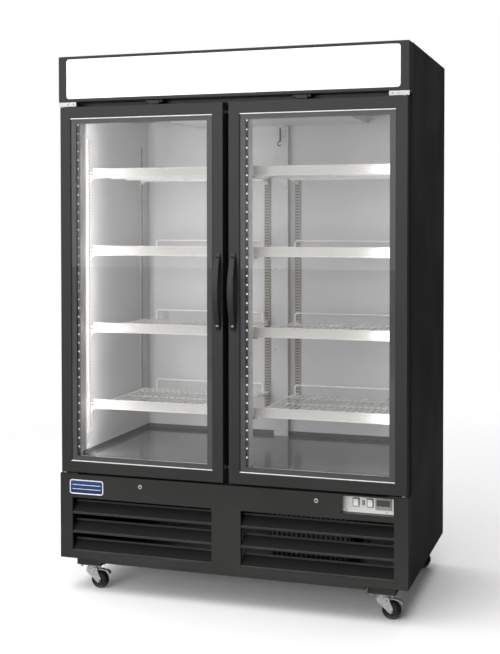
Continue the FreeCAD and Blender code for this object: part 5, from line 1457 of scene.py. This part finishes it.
class StageSettings(bpy.types.PropertyGroup):
    """The plain floor, the soft lights and the camera."""
    floor: colour_choice("Floor", "Plain pale floor", "#f4f4f4")
    lens: FloatProperty(name="Lens", description="Focal length in millimetres", default=63.35,
                        min=10.0, subtype="DISTANCE_CAMERA")
    shift: FloatProperty(name="Shift", description="Vertical shift of the camera", default=-0.115)
    key: FloatProperty(name="Key light", description="Power of the large front light",
                       default=60.0, min=0.0, unit="POWER")
    top: FloatProperty(name="Top light", description="Power of the overhead light",
                       default=230.0, min=0.0, unit="POWER")
    fill: FloatProperty(name="Front fill", description="Power of the low front light",
                        default=260.0, min=0.0, unit="POWER")
    edge: FloatProperty(name="Edge light", description="Power of the small light by the header",
                        default=4.0, min=0.0, unit="POWER")
    mirror: FloatProperty(name="Mirrored studio", description="Share of the studio seen in gloss",
                          default=0.56, min=0.0)


class MERCHANDISER_OT_stage(bpy.types.Operator):
    """Adds the floor, the soft studio lights and the camera"""
    bl_idname = "merchandiser.stage"
    bl_label = "Stage"

    def execute(self, context):
        stage = context.scene.merchandiser_stage
        scene = context.scene
        scene.view_settings.view_transform = "Standard"
        scene.view_settings.look = "None"

        made = surface("plain_floor", stage.floor, 0.55, grain_mm=6, relief_mm=0.01, cloud_mm=900,
                       spread=0.005)
        made["shader"].inputs["Specular IOR Level"].default_value = 0.2
        tree = made["tree"]
        away = add_node(tree, "ShaderNodeVectorMath", {0: made["places"]},
                        operation="LENGTH").outputs["Value"]
        far = ranged(tree, away, 1.4, 4.5, interpolation_type="SMOOTHSTEP")
        white = add_node(tree, "ShaderNodeEmission", {"Color": (1, 1, 1, 1), "Strength": 1.0})
        fade = add_node(tree, "ShaderNodeMixShader", {0: far, 1: made["shader"].outputs[0],
                                                      2: white.outputs[0]})
        hidden = add_node(tree, "ShaderNodeBsdfDiffuse", {"Color": shade(stage.floor, 0.1)})
        seen = add_node(tree, "ShaderNodeLightPath").outputs["Is Camera Ray"]
        either = add_node(tree, "ShaderNodeMixShader", {0: seen, 1: hidden.outputs[0],
                                                        2: fade.outputs[0]})
        tree.links.new(either.outputs[0], made["out"].inputs["Surface"])
        bm = bmesh.new()
        bmesh.ops.create_grid(bm, x_segments=4, y_segments=4, size=30)
        mesh = bpy.data.meshes.new("floor")
        bm.to_mesh(mesh)
        bm.free()
        mesh.materials.append(bpy.data.materials["plain_floor"])
        floor = bpy.data.objects.new("floor", mesh)
        scene.collection.objects.link(floor)

        world = bpy.data.worlds.new("studio")
        scene.world = world
        world.use_nodes = True
        tree = world.node_tree
        tree.nodes.clear()
        towards = add_node(tree, "ShaderNodeTexCoord").outputs["Generated"]
        across, depth, height = add_node(tree, "ShaderNodeSeparateXYZ", {0: towards}).outputs
        # The studio is darker to the right, and its mirrored share fades behind and near the floor.
        dim_right = ranged(tree, across, -0.3, 0.6, 1.1, 0.1, interpolation_type="SMOOTHSTEP")
        rays = add_node(tree, "ShaderNodeLightPath").outputs
        rising = ranged(tree, height, -0.08, 0.25, stage.mirror * 0.8, stage.mirror * 1.3)
        behind = ranged(tree, depth, 0.1, 0.7, 1.0, 0.35)
        mirrored = maths(tree, "MULTIPLY", dim_right, maths(tree, "MULTIPLY", behind, rising))
        shiny = maths(tree, "MAXIMUM", rays["Is Glossy Ray"], rays["Is Transmission Ray"])
        unseen = add_node(tree, "ShaderNodeMix", {0: shiny, 2: dim_right, 3: mirrored}).outputs[0]
        strength = add_node(tree, "ShaderNodeMix", {0: rays["Is Camera Ray"], 2: unseen,
                                                    3: 1.0}).outputs[0]
        sky = add_node(tree, "ShaderNodeBackground", {"Color": (1, 1, 1, 1), "Strength": strength})
        add_node(tree, "ShaderNodeOutputWorld", {"Surface": sky.outputs[0]})

        add_area("key_light", (-3.4, -5.2, 3.0), (-0.2, 0, 1.1), (2.6, 3.2), stage.key)
        add_area("top_light", (-0.3, -0.8, 5.0), (-0.2, 0, 0), (5.5, 5.5), stage.top)
        add_area("edge_light", (-1.7, -1.9, 2.2), (-0.69, -0.42, 1.95), (0.5, 0.5), stage.edge)
        add_area("front_fill", (-1.2, -6.5, 1.6), (0, 0, 1.0), (4.0, 2.4), stage.fill)

        data = bpy.data.cameras.new("camera")
        data.lens = stage.lens
        data.sensor_width = 36.0
        data.shift_y = stage.shift
        data.clip_start, data.clip_end = 0.05, 100.0
        camera = bpy.data.objects.new("camera", data)
        camera.location = (1.4146, -4.413, 1.443)
        turn_left, look_down, roll = 0.3165, 0.026, 0.0006
        camera.rotation_euler = (math.pi / 2 - look_down, roll, turn_left)
        scene.collection.objects.link(camera)
        scene.camera = camera
        return {"FINISHED"}


# ---- panel and run -------------------------------------------------------------------------------

SETTINGS = (
    ("merchandiser_finishes", FinishSettings),
    ("merchandiser_door", DoorSettings),
    ("merchandiser_shelf", ShelfSettings),
    ("merchandiser_lamps", LightSettings),
    ("merchandiser_stage", StageSettings),
)

OPERATORS = (
    MERCHANDISER_OT_finishes,
    MERCHANDISER_OT_cabinet,
    MERCHANDISER_OT_header,
    MERCHANDISER_OT_front_frame,
    MERCHANDISER_OT_light_bars,
    MERCHANDISER_OT_base,
    MERCHANDISER_OT_controls,
    MERCHANDISER_OT_doors,
    MERCHANDISER_OT_hinges,
    MERCHANDISER_OT_standards,
    MERCHANDISER_OT_shelves,
    MERCHANDISER_OT_air_path,
    MERCHANDISER_OT_machinery,
    MERCHANDISER_OT_casters,
    MERCHANDISER_OT_stage,
)


class MERCHANDISER_PT_pieces(bpy.types.Panel):
    """Lists the settings and the pieces"""
    bl_idname = "MERCHANDISER_PT_pieces"
    bl_label = "Merchandiser"
    bl_space_type = "VIEW_3D"
    bl_region_type = "UI"
    bl_category = "Merchandiser"

    def draw(self, context):
        for name, group in SETTINGS:
            box = self.layout.box()
            for key in group.__annotations__:
                box.prop(getattr(context.scene, name), key)
        for operator in OPERATORS:
            self.layout.operator(operator.bl_idname)


def register():
    for name, group in SETTINGS:
        bpy.utils.register_class(group)
        setattr(bpy.types.Scene, name, PointerProperty(type=group))
    for operator in OPERATORS:
        bpy.utils.register_class(operator)
    bpy.utils.register_class(MERCHANDISER_PT_pieces)


def unregister():
    bpy.utils.unregister_class(MERCHANDISER_PT_pieces)
    for operator in reversed(OPERATORS):
        bpy.utils.unregister_class(operator)
    for name, group in reversed(SETTINGS):
        delattr(bpy.types.Scene, name)
        bpy.utils.unregister_class(group)


def main():
    register()
    for operator in OPERATORS:
        group, action = operator.bl_idname.split(".")
        getattr(getattr(bpy.ops, group), action)()
    bpy.context.view_layer.update()


if __name__ == "__main__":
    main()
